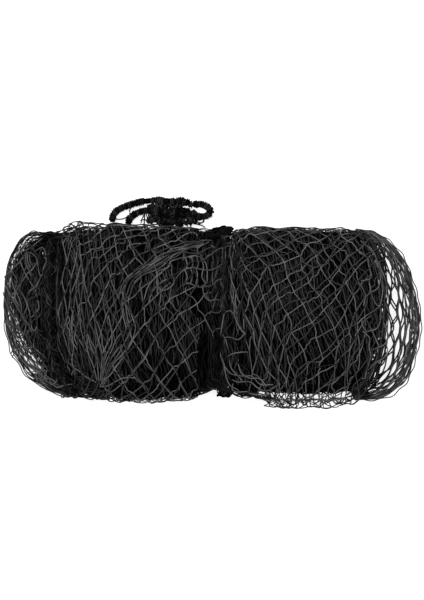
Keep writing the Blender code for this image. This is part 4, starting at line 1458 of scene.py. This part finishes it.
TWINE_BRAID = (0.0042, 2, 0.35)  # pitch, turns and bump
COVER_BRAID = (0.0050, 2, 0.35)
LOOKS = {  # darkest and lightest colour, roughness, the braid's pitch, turns and bump, gloss
    "border_rope": ((0.0005, 0.0005, 0.0005), (0.0052, 0.0052, 0.0055), 0.62, 0.013, 4, 0.5, 0.0),
    "hitch_twine": ((0.0003, 0.0003, 0.0003), (0.036, 0.036, 0.037), 0.60, *TWINE_BRAID, 0.0),
    "outer_twine": ((0.002, 0.002, 0.0021), (0.138, 0.138, 0.140), 0.55, *COVER_BRAID, 0.08),
    # the cover's own black twine, painted darker: painted shade of the layers just under the cover
    "second_twine_painted_shade": ((0.0005, 0.0005, 0.0005), (0.060, 0.060, 0.061), 0.60, *COVER_BRAID, 0.03),
    # the same twine painted darker still: painted shade deep in the netting, in the creases and round the ties
    "under_twine_painted_shade": ((0.0003, 0.0003, 0.0003), (0.038, 0.038, 0.039), 0.60, *TWINE_BRAID, 0.01),
    # near black: painted shade of the bundle's inside, where little light reaches
    "core_painted_shade": ((0.0008, 0.0008, 0.0008), (0.003, 0.003, 0.003), 0.8, *TWINE_BRAID, 0.0),
    "tie_rope": ((0.0008, 0.0008, 0.0009), (0.010, 0.010, 0.0105), 0.62, 0.009, 4, 0.5, 0.02),
    "folded_rope": ((0.006, 0.006, 0.0065), (0.024, 0.024, 0.025), 0.6, 0.013, 4, 0.4, 0.05),
}


def put(obj, slot, body, *replaced):
    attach(obj, body)
    if replaced:
        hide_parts(*replaced)


def make_bow(looks):
    """The bow's three ropes, with net twine hitched round each."""
    for name, node_name, route, body, seed in (
        ("bow_outer_rope", "bow_outer_loop", BOW_OUTER_ROUTE, "bow_outer", 3),
        ("bow_inner_rope", "bow_inner_loop", BOW_INNER_ROUTE + BOW_INNER_END, "bundle", 5),
        ("bow_right_rope", "bow_right_loop", BOW_RIGHT_ROUTE, "bow_right", 7),
    ):
        line = above_floor(resampled(route, 0.0014), ROPE_LOW)
        rope = rope_object(name, [(line, ROPE / 2, False)], looks["border_rope"], seed=seed, relief=0.14, rough=0.14)
        put(rope, "border_rope", body, node_name)
        free = line[4:-8] if body == "bow_outer" else line[4:-4]
        wraps = hitches(free, ROPE / 2, 0.0062, seed)
        put(tube_object(f"{name}_hitches", wraps, looks["hitch_twine"], sides=5), "border_rope", body)


def shifted(rows, x, y):
    """The same knots, each moved by x and y: where the layer under the cover lies."""
    return [(a, b, [(u + x, v + y) for u, v in places]) for a, b, places in rows]


def under_nets(skin, name, seed, x_range, keep, body, looks, tilt, count):
    """Two inner layers drawn shut, the deeper one painted darker as shade, and the folds that lie on them."""

    def fold_keep(points, owners):
        return keep(points, owners) & ~((owners == MIDDLE) & hollow(points))

    folds = panels(skin, seed + 50, x_range, tilt, count, fold_keep)
    put(tube_object(f"{name}_folds", folds, looks["second_twine_painted_shade"], sides=5), "netting", body)
    # each layer's shade range: the deeper layer is painted darker, as painted shade
    layers = ((tilt + 4, -0.0105, (0.0, 0.14)), (tilt - 14, -0.0135, (0.0, 0.02)))
    for number, (lean, lift, shade) in enumerate(layers):
        lean = math.radians(lean)
        strands = closed_net(skin, seed + 10 * number, x_range, lean, 0.0084, lift, keep, 0.014, shade)
        put(tube_object(f"{name}_{number + 1}", strands, looks["under_twine_painted_shade"], sides=5), "netting", body)


def right_lobe(skin, tops, looks):
    """The right lobe's cover, its second net and inner layers, and the see-through pocket at its end."""
    strands = open_net(skin, 11, RIGHT_ROWS, (36, -56), (0.26, 0.50), right_cover, 0.001)
    strands += tops.routed(LADDER, 0.0060, 90, 0.8, 0.15, sway_seed=80)
    strands += tops.routed(EDGE_TWINES, 0.0030, 1800, 0.72)
    strands += bunch(tops, 12, LOBE_EDGE, 4, 0.012, (0.002, 0.004), (0.5, 1.0), wobble=0.002)
    strands += fringe(skin, 13, 0.105, 0.335, 0.026, 0.018, 3, (0.0, 0.5))
    strands += fringe(skin, 14, 0.10, 0.37, 0.050, 0.006, 2)
    net = tube_object("right_outer_net", strands, looks["outer_twine"])
    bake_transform(net)

    rows = shifted(RIGHT_ROWS, 0.021, -0.012)
    strands = open_net(skin, 15, rows, (30, -62), (0.26, 0.50), only(RIGHT), -0.004, 0.006, shade=(0.1, 0.9))
    # twines that run down the dome's far side, where the cover turns over its edge
    inside = [(x - 0.012, y) for x, y in DOME_EDGE]
    for seed, route, lift in ((16, inside, -0.001), (17, DOME_EDGE, -0.006)):
        strands += strip(skin, seed, route, 6, 0.0055, lift, shade=(0.1, 0.8))
    ladder_run = [(0.056, 0.000), (0.056, -0.05), (0.056, -0.10), (0.060, -0.15), (0.068, -0.205)]
    strands += bunch(tops, 18, ladder_run, 9, 0.046, (0.0, 0.001), (0.1, 0.6), wobble=0.005)
    upper_run = [(0.060, 0.145), (0.056, 0.10), (0.056, 0.05), (0.060, 0.0)]
    strands += bunch(tops, 19, upper_run, 5, 0.024, (0.0, 0.001), (0.0, 0.5), wobble=0.004)
    strands += end_wall()
    put(tube_object("right_second_net", strands, looks["second_twine_painted_shade"], sides=5), "netting", "bundle")
    under_nets(skin, "right_under_net", 100, (0.045, 0.44), right_inside, "bundle", looks, -14, 24)

    net = tube_object("pocket_net", pocket_strands(), looks["outer_twine"])
    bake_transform(net)
    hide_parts("netting_end_pocket")


def middle_lobe(skin, looks):
    """The middle lobe's two covers, parted by a pleat, the swept band, the second net and the inner layers."""
    strands = drawn_in(open_net(skin, 21, MIDDLE_ROWS, (40, -62), (0.26, 0.48), left_of_pleat, 0.001))
    beside = [(x + 0.008, y - 0.003) for x, y in PLEAT]
    strands += strip(skin, 22, beside, 4, (0.0038, 0.0060, 0.0076, 0.0070, 0.0034), 0.0012, cross=0.14)
    strands += [(*line_on(skin, route, 0.0015), TWINE / 2, 0.8) for route in FAN]
    strands += fringe(skin, 26, -0.262, 0.004, 0.060, 0.004, 3)
    put(tube_object("middle_outer_net", strands, looks["outer_twine"]), "netting", "bundle")

    strands = open_net(skin, 51, INNER_ROWS, (38, -52), (0.24, 0.48), right_of_pleat, 0.0)
    for number, route in enumerate(ARCHES):
        points, up = line_on(skin, route, 0.0018)
        along = ROUTE_STEP * np.arange(len(points))
        strands.append((points, up, TWINE / 2, dappled(230 + number, along, 0.85, 0.2)))
    put(tube_object("middle_inner_net", strands, looks["outer_twine"]), "netting", "bundle")

    # the band's twines are mostly the darker twine with low shade values: painted shade along the gathered band
    strands = strip(skin, 61, BAND, 9, (0.0034, 0.0020), 0.001, cross=1.1, shade=(0.0, 0.35), wobble=0.003)
    low_edge = [(-0.372, -0.195), (-0.340, -0.222), (-0.300, -0.232), (-0.250, -0.235)]
    strands += strip(skin, 62, low_edge, 6, (0.0060, 0.0030), 0.0, shade=(0.3, 1.0), wobble=0.003)
    corner = [(-0.368, -0.165), (-0.345, -0.200), (-0.305, -0.215), (-0.265, -0.216)]
    strands += strip(skin, 63, corner, 5, (0.0065, 0.0030), -0.003, shade=(0.1, 0.7), wobble=0.003)
    put(tube_object("swept_band", strands, looks["under_twine_painted_shade"]), "gathered_netting", "bundle")

    deeper = shifted(MIDDLE_ROWS, 0.020, -0.012)
    strands = open_net(skin, 27, deeper, (36, -66), (0.26, 0.48), middle_inside, -0.004, 0.006, shade=(0.1, 0.9))
    strands = drawn_in(strands)
    low_end = [(-0.362, 0.150), (-0.366, 0.08), (-0.366, 0.0), (-0.364, -0.08), (-0.345, -0.14), (-0.305, -0.19)]
    strands += strip(skin, 28, low_end, 5, 0.0055, -0.001, shade=(0.0, 0.6))
    right_end = [(0.000, 0.135), (0.002, 0.08), (0.000, 0.02), (-0.002, -0.05), (0.000, -0.12), (0.000, -0.19)]
    strands += strip(skin, 29, right_end, 5, 0.0055, -0.002, shade=(0.0, 0.25))
    put(tube_object("middle_second_net", strands, looks["second_twine_painted_shade"], sides=5), "netting", "bundle")
    under_nets(skin, "middle_under_net", 200, (-0.41, 0.020), only(MIDDLE), "bundle", looks, -4, 27)


def left_lobe(skin, tops, looks):
    """The left end's cover and loose hem, its second net and its inner layers."""
    strands = open_net(skin, 31, LEFT_ROWS, (62, -66), (0.16, 0.46), left_cover, 0.001, 0.005, shade=(0.5, 1.0))
    put(tube_object("left_outer_net", strands, looks["outer_twine"]), "netting", "left_end")
    strands = left_hem_strands() + tops.routed(LEFT_TWINES, 0.0030, 1700, 0.62)
    net = tube_object("left_hem_net", strands, looks["outer_twine"])
    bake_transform(net)
    rows = shifted(LEFT_ROWS, 0.016, -0.020)
    strands = open_net(skin, 36, rows, (66, -60), (0.16, 0.46), left_inside, -0.0035, 0.008, shade=(0.2, 1.0))
    # the deeper of these two layers gets a lower shade range: painted shade
    rows = shifted(LEFT_ROWS, -0.010, -0.034)
    strands += open_net(skin, 37, rows, (74, -70), (0.16, 0.46), left_inside, -0.0070, 0.010, shade=(0.0, 0.7))
    for seed, x in ((38, -0.475), (39, -0.452), (40, -0.428)):
        run = [(x - 0.004, 0.09), (x + 0.004, 0.03), (x - 0.003, -0.04), (x + 0.005, -0.10), (x + 0.020, -0.17)]
        strands += strip(skin, seed, run, 4, 0.0062, -0.006, shade=(0.0, 0.7), wobble=0.004, keep=left_inside)
    put(tube_object("left_second_net", strands, looks["second_twine_painted_shade"], sides=5), "netting", "left_end")
    under_nets(skin, "left_under_net", 300, (-0.505, -0.36), left_inside, "left_end", looks, -6, 8)


# seed, tilt in degrees, pitch and lift of each layer
WAIST_LAYERS = ((400, 3, 0.0046, -0.001), (401, -4, 0.0046, -0.0035), (402, 2, 0.005, -0.006))


def waist_nets(skin, looks):
    """The netting drawn together under each tie, in three layers."""
    for name, x_range, owner, node_name in (
        ("middle_waist_netting", (0.0, 0.06), MIDDLE_WAIST, "netting_middle_waist"),
        ("left_waist_netting", (-0.43, -0.29), LEFT_WAIST, "netting_left_waist"),
    ):
        strands = []
        keep = waist_inside if owner == LEFT_WAIST else only(owner)
        for seed, tilt, pitch, lift in WAIST_LAYERS:
            angle = math.radians(tilt)
            # low shade values: painted shade of the netting drawn into the groove under each tie
            strands += closed_net(skin, seed, x_range, angle, pitch, lift, keep, 0.002, (0.0, 0.3))
        net = tube_object(name, strands, looks["under_twine_painted_shade"], sides=5)
        put(net, "gathered_netting", "bundle", node_name)


def ties(looks):
    """Each tie's rope, and the twines gathered round it that half bury it."""
    for name, node_name, radius, half_width, count, upper, seed in (
        ("left_tie", "left_tie_rope", 0.0080, 0.0130, 10, 5, 900),
        ("middle_tie", "middle_tie_rope", 0.0075, 0.0120, 9, 6, 950),
    ):
        line = above_floor(ring_of(node_name, 420), 1.06 * radius)
        tie = rope_object(name, [(line, radius, True)], looks["tie_rope"], sides=18, pitch=0.02, seed=9)
        put(tie, "tie_rope", "bundle", node_name)
        # the gathers get low shade values: painted shade of the crease the tie lies in
        strands = sleeve(line, radius, half_width, count, seed, 0.0, (0.0, 0.4))
        gathers = tube_object(f"{name}_gathers", strands, looks["under_twine_painted_shade"], sides=5)
        put(gathers, "gathered_netting", "bundle")
        strands = sleeve(line, radius, 1.15 * half_width, upper, seed + 100, 0.0012, (0.0, 0.6))
        gathers = tube_object(f"{name}_upper_gathers", strands, looks["second_twine_painted_shade"], sides=5)
        put(gathers, "gathered_netting", "bundle")


def tie_knots(looks):
    """The ties' knots, each with loose twine tangled round it."""
    for name, node_name, radius, waves, phases, seed, inward, spots in (
        ("left_knot", "left_tie_knot", 0.0042, (2, 3, 4), (0.3, 0.9, 0.2), 970, -0.004, LEFT_LUMPS),
        ("upper_knot", "middle_tie_upper_knot", 0.0046, (2, 3, 4), (0.9, 0.2, 0.7), 980, -0.003, UPPER_LUMPS),
        ("lower_knot", "middle_tie_lower_knot", 0.0042, (3, 2, 4), (0.4, 1.1, 0.1), 990, 0.010, ()),
    ):
        knot = knot_object(name, node_name, radius, waves, phases, looks["tie_rope"], inward)
        put(knot, "tie_rope", "bundle", node_name)
        low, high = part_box(node_name)
        centre = (low + high) / 2 + Vector((0.0, inward, 0.0))
        half = (high - low) / 2
        strands = tangle(centre, (half.x + 0.008, half.y + 0.004, half.z * 0.9), 7, seed, 0.0014, (0.0, 0.6))
        for number, (x, y) in enumerate(spots):
            spot = (x, y, centre.z + 0.004)
            strands += tangle(spot, (0.013, 0.011, 0.011), 4, seed + 3 * number, 0.0015, (0.0, 0.7))
        loose = tube_object(f"{name}_twines", strands, looks["hitch_twine"], sides=5)
        put(loose, "tie_rope", "bundle")


def gathered_twines(tops, looks):
    """Twines that run on over the waists and gather in the creases beside the ties."""
    strands = tops.routed(WAIST_TWINES, 0.0035, 1600, 0.50)
    for seed, aside in ((1650, -0.006), (1660, 0.006)):
        run = [(0.014 + aside, 0.125), (0.016 + aside, 0.08), (0.013 + aside, 0.03), (0.016 + aside, -0.03)]
        strands += bunch(tops, seed, run, 4, 0.012, (0.001, 0.003), (0.0, 0.35), wobble=0.004)
    put(tube_object("waist_cover_net", strands, looks["outer_twine"]), "netting", "bundle")

    # the gathered twines get low shade values and the darker twine: painted shade of the creases and the hollow
    # beside the ties
    strands = []
    for seed, route, count, width, end_width, highest, shade in (
        (700, CREASE, 9, 0.028, 0.022, 0.005, (0.0, 0.4)),
        (720, HOLLOW, 10, 0.028, 0.024, 0.004, (0.0, 0.25)),
        (740, SWEEP, 10, 0.020, 0.008, 0.005, (0.0, 0.5)),
        (760, SHOULDER, 8, 0.022, 0.014, 0.004, (0.0, 0.5)),
        (780, LEFT_SHOULDER, 9, 0.026, 0.018, 0.004, (0.0, 0.6)),
        (800, LEFT_CORNER, 7, 0.020, 0.016, 0.004, (0.1, 0.7)),
        (820, LEFT_GATHER, 9, 0.028, 0.026, 0.004, (0.0, 0.5)),
    ):
        lowest = 0.002 if route is CREASE else 0.001
        strands += bunch(tops, seed, route, count, width, (lowest, highest), shade, end_width)
    put(tube_object("crease_twines_painted_shade", strands, looks["under_twine_painted_shade"], sides=5), "gathered_netting", "bundle")


def bow_tangle(looks):
    """The bow's tangle: both arms run through it and turn round each other, with twine tangled over them."""
    through = resampled([BOW_OUTER_ROUTE[-1], *BOW_THROUGH, BOW_RIGHT_ROUTE[0]], 0.0016)
    back = resampled([BOW_INNER_END[-1], *BOW_BACK, BOW_RIGHT_ROUTE[-1]], 0.0016)
    low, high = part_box("bow_knot")
    middle = (low + high) / 2
    ropes = [(through, ROPE / 2, False), (back, ROPE / 2, False)]
    for shift, aside, phase in ((-0.020, 0.004, 0.7), (0.000, -0.003, 0.2), (0.020, 0.002, 1.1)):
        centre = middle + Vector((shift, aside, 0.0))
        ropes.append((knot_line(centre, (0.013, 0.014, 0.010), (2, 3, 4), (phase, 0.2, 0.4), 260), 0.0040, True))
    knot = rope_object("bow_tangle", ropes, looks["border_rope"], sides=16, seed=4, relief=0.16, rough=0.42)
    put(knot, "border_rope", "bundle", "bow_knot")
    strands = hitches(through, ROPE / 2, 0.0075, 41) + hitches(back, ROPE / 2, 0.0075, 42)
    for number, (x, y, z) in enumerate(BOW_LUMPS):
        size = 0.0105 + 0.0035 * (number * 7 % 5) / 4
        strands += tangle((x, y, z), (1.15 * size, size, 0.9 * size), 4, 43 + 5 * number, 0.0017, (0.0, 1.0), (2, 4))
    for route in BOW_TWINES:
        line = resampled(route, 0.003)
        strands.append((line, upright(len(line)), HITCH_TWINE / 2, 0.1))
    put(tube_object("bow_twines", strands, looks["hitch_twine"], sides=5), "border_rope", "bundle")


def folded_ropes(looks):
    """The border ropes folded away inside."""
    for name, node_name in (("head_rope", "head_rope_hank"), ("foot_rope", "foot_rope_hank")):
        line = hank_line(node_name, ROPE / 2)
        hank = rope_object(name, [(line, ROPE / 2, False)], looks["folded_rope"], sides=8, relief=0.06)
        put(hank, "folded_rope", "bundle", node_name)


CORE_DEPTH = 0.019  # how far the hearts painted near black as shade lie under the skin
WAIST_SHALLOWER = 0.009


def cores(skin, looks):
    """The hearts of the thick netting, painted near black as shade: one in the left end, one in the rest."""
    tall = skin.grid[:, :, 2].max(axis=1)
    depth = np.full(STATIONS, CORE_DEPTH)
    top = slice(FRACTIONS // 3, -FRACTIONS // 3)
    left_columns = [k for k in range(STATIONS) if (skin.owner[k, top] == LEFT_END).mean() > 0.6 and tall[k] > 0.05]
    solid = [(skin.owner[k, top] != POCKET).mean() > 0.6 and skin.xs[k] < 0.404 for k in range(STATIONS)]
    bundle_columns = [k for k in range(left_columns[-1] + 2, STATIONS) if solid[k]]
    for k in bundle_columns:
        waist = np.isin(skin.owner[k, top], (LEFT_WAIST, MIDDLE_WAIST)).mean()
        depth[k] = CORE_DEPTH - WAIST_SHALLOWER * waist
    heart = core(skin, "bundle_core", bundle_columns[::2], blurred(depth, 3), looks["core_painted_shade"])
    put(heart, "netting", "bundle", "netting_middle_lobe", "netting_right_lobe")
    heart = core(skin, "left_core", left_columns[::2], depth, looks["core_painted_shade"])
    put(heart, "netting", "left_end", "netting_left_end")


class Hem:
    """A see-through edge of the net: u is 0 on its inner line and 1 on its outer one, seen from above."""

    def __init__(self, names, inner, outer):
        self.tree, _ = node_tree_of(names)
        even = np.linspace(0, 1, 96)
        self.inner, self.outer = (
            np.stack([np.interp(even, np.linspace(0, 1, len(line)), line[:, k]) for k in (0, 1)], axis=1)
            for line in (resampled(inner, ROUTE_STEP), resampled(outer, ROUTE_STEP))
        )
        self.along = lengths_along(self.outer)
        self.span = np.linalg.norm(self.outer - self.inner, axis=1) + 1e-6

    def strand(self, u, raised, seed, shade, radius):
        """One twine at u along the edge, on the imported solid's top where raised is 1 and on the floor at 0."""
        sway, height = Waves(seed, 0.09, 0.0018), Waves(seed + 1, 0.06, 0.0022)
        plan = self.inner + (self.outer - self.inner) * u[:, None]
        plan[:, 0] += sway(self.along, 0.05 * u)
        z = np.array([height_at(self.tree, x, y, 0.012, 0.3, 0.3) for x, y in plan])
        z = blurred(z[:, None], 4)[:, 0]
        z = raised * z + (1 - raised) * 0.004 + np.abs(height(self.along, 0.05 * u))
        points = above_floor(np.column_stack([plan, z]), radius)
        return points, upright(len(u)), radius, dappled(seed + 2, self.along, shade)


def pocket_strands():
    """The see-through pocket: two sheets of long diamonds from the core's edge to the rim, and the rim's twines."""
    draw = np.random.default_rng(61)
    hem = Hem(("netting_end_pocket",), DOME_EDGE, POCKET_EDGE)
    strands = []
    columns, tall = 11, 0.098  # how many diamonds side by side, and how long each one is
    for raised, phase, shift, seed in ((1.0, 0.0, 0.0, 600), (0.10, 0.07, 0.25, 700)):
        for k in range(columns + 1):
            zigzag = np.abs(((hem.along / tall + phase + 0.5 * k) % 1.0) * 2 - 1) - 0.5
            zigzag = np.sin(zigzag * math.pi) * 0.46
            v = (k + 0.5 + shift + zigzag) / (columns + 0.8)
            u = np.clip(1.42 * v - 0.50 * v * v, 0.0, 1.0)
            strands.append(hem.strand(u, raised, seed + k, draw.uniform(0.05, 0.5), POCKET_TWINE / 2))
    # the rim: wide at both shoulders, narrow at the far end, its twines touching here and there
    wide = 0.030 * np.abs(np.linspace(-1, 1, len(hem.along))) ** 0.8 + 0.018
    rim = 8
    for k in range(rim):
        swing = 0.45 * (wide / (rim - 1)) * np.sin(math.pi * hem.along / draw.uniform(0.022, 0.030) + k * math.pi)
        u = 1.0 - np.minimum((wide * (k / (rim - 1)) + swing) / hem.span, 1.2)
        strands.append(hem.strand(u, draw.uniform(0.15, 1.0), 800 + 3 * k, draw.uniform(0.0, 0.50), TWINE / 2))
    return strands


def left_hem_strands():
    """The left end's loose edge: twines that run round it and leave slits, on top and underneath."""
    draw = np.random.default_rng(62)
    hem = Hem(("netting_left_end", "netting_left_waist", "netting_middle_lobe"), LEFT_INNER, LEFT_OUTLINE)
    strands = []
    for raised, count, seed in ((1.0, 15, 1000), (0.25, 14, 1100)):
        for k in range(count):
            gap = 1.15 / count
            swing = 0.62 * gap * np.sin(math.pi * hem.along / draw.uniform(0.026, 0.040) + k * math.pi)
            u = np.clip(-0.15 + gap * (k + 0.5) + swing, -0.2, 1.0)
            u = np.where(u > 0, np.abs(u) ** 0.8, u)
            height = max(raised * draw.uniform(0.7, 1.0), 0.05)
            points, up, radius, shade = hem.strand(u, height, seed + 3 * k, draw.uniform(0.0, 1.0) ** 2.2, TWINE / 2)
            first, last = int(draw.integers(0, 30)), len(points) - int(draw.integers(0, 18))
            if k >= count - 3:
                first, last = 0, len(points)
            shade = shade * (1 - 0.6 * eased((points[:, 1] + 0.08) / 0.05))
            strands.append((points[first:last], up[first:last], radius, shade[first:last]))
    return strands


def end_wall():
    """Netting that hangs down the dome's far end to the pocket: twines down it, and twines across them."""
    tree, _ = node_tree_of(("netting_right_lobe",))
    line = resampled(DOME_EDGE, ROUTE_STEP)
    out = sideways(line)
    high = line - 0.014 * out
    z = np.array([height_at(tree, x, y, 0.02) for x, y in high])
    z = blurred(z[:, None], 3)[:, 0]
    at = np.arange(len(line))

    def patch(v, w, lift):
        """Points on the wall, v along its edge from 0 to 1 and w down it from 0 to 1."""
        where = np.clip(v, 0, 1) * (len(line) - 1)
        spread = 0.016 * np.sin(math.pi / 2 * w) + lift
        place = [np.interp(where, at, high[:, k]) + spread * np.interp(where, at, out[:, k]) for k in (0, 1)]
        down = np.interp(where, at, z) * np.cos(math.pi / 2 * w) ** 0.9 + 0.003
        points = np.column_stack([*place, down])
        up = np.column_stack([np.interp(where, at, out[:, 0]), np.interp(where, at, out[:, 1]), 0.3 + 0 * where])
        return above_floor(points, TWINE / 2), up

    draw = np.random.default_rng(63)
    size = ROUTE_STEP * len(line)
    strands = []
    pitch = 0.0072  # from one twine down the wall to the next
    columns = int(size / pitch)
    wall = 0.12  # from the wall's top to its foot, along it
    w = np.linspace(0.0, 0.98, 26)
    for layer, lift in ((0, 0.0), (1, -0.003)):
        for k in range(columns):
            swing = 0.42 * np.sin(math.pi * w * wall / BAR + k * math.pi) + Waves(1200 + k, 0.10, 0.5).on(wall * w)
            points, up = patch((k + 0.5 + swing) / columns, w, lift)
            # the deeper layer is painted darker: painted shade
            shade = 0.85 * draw.uniform(0.0, 1.0) ** (2.6 + 2 * layer)
            strands.append((points, up, TWINE / 2, dappled(1300 + k, wall * w, shade)))
    v = np.linspace(0.02, 0.98, 110)
    for k in range(6):
        level = 0.10 + 0.15 * k + Waves(1400 + k, 0.12, 0.05).on(size * v)
        points, up = patch(v, np.clip(level, 0.0, 0.98), 0.0015)
        strands.append((points, up, TWINE / 2, dappled(1500 + k, size * v, draw.uniform(0.1, 0.9))))
    return strands


def main():
    make_camera()
    looks = {name: twine_material(name, *values) for name, values in LOOKS.items()}
    make_bow(looks)
    make_studio()
    skin, tops = Skin(), Tops()
    right_lobe(skin, tops, looks)
    middle_lobe(skin, looks)
    left_lobe(skin, tops, looks)
    waist_nets(skin, looks)
    ties(looks)
    tie_knots(looks)
    gathered_twines(tops, looks)
    bow_tangle(looks)
    cores(skin, looks)
    folded_ropes(looks)


main()
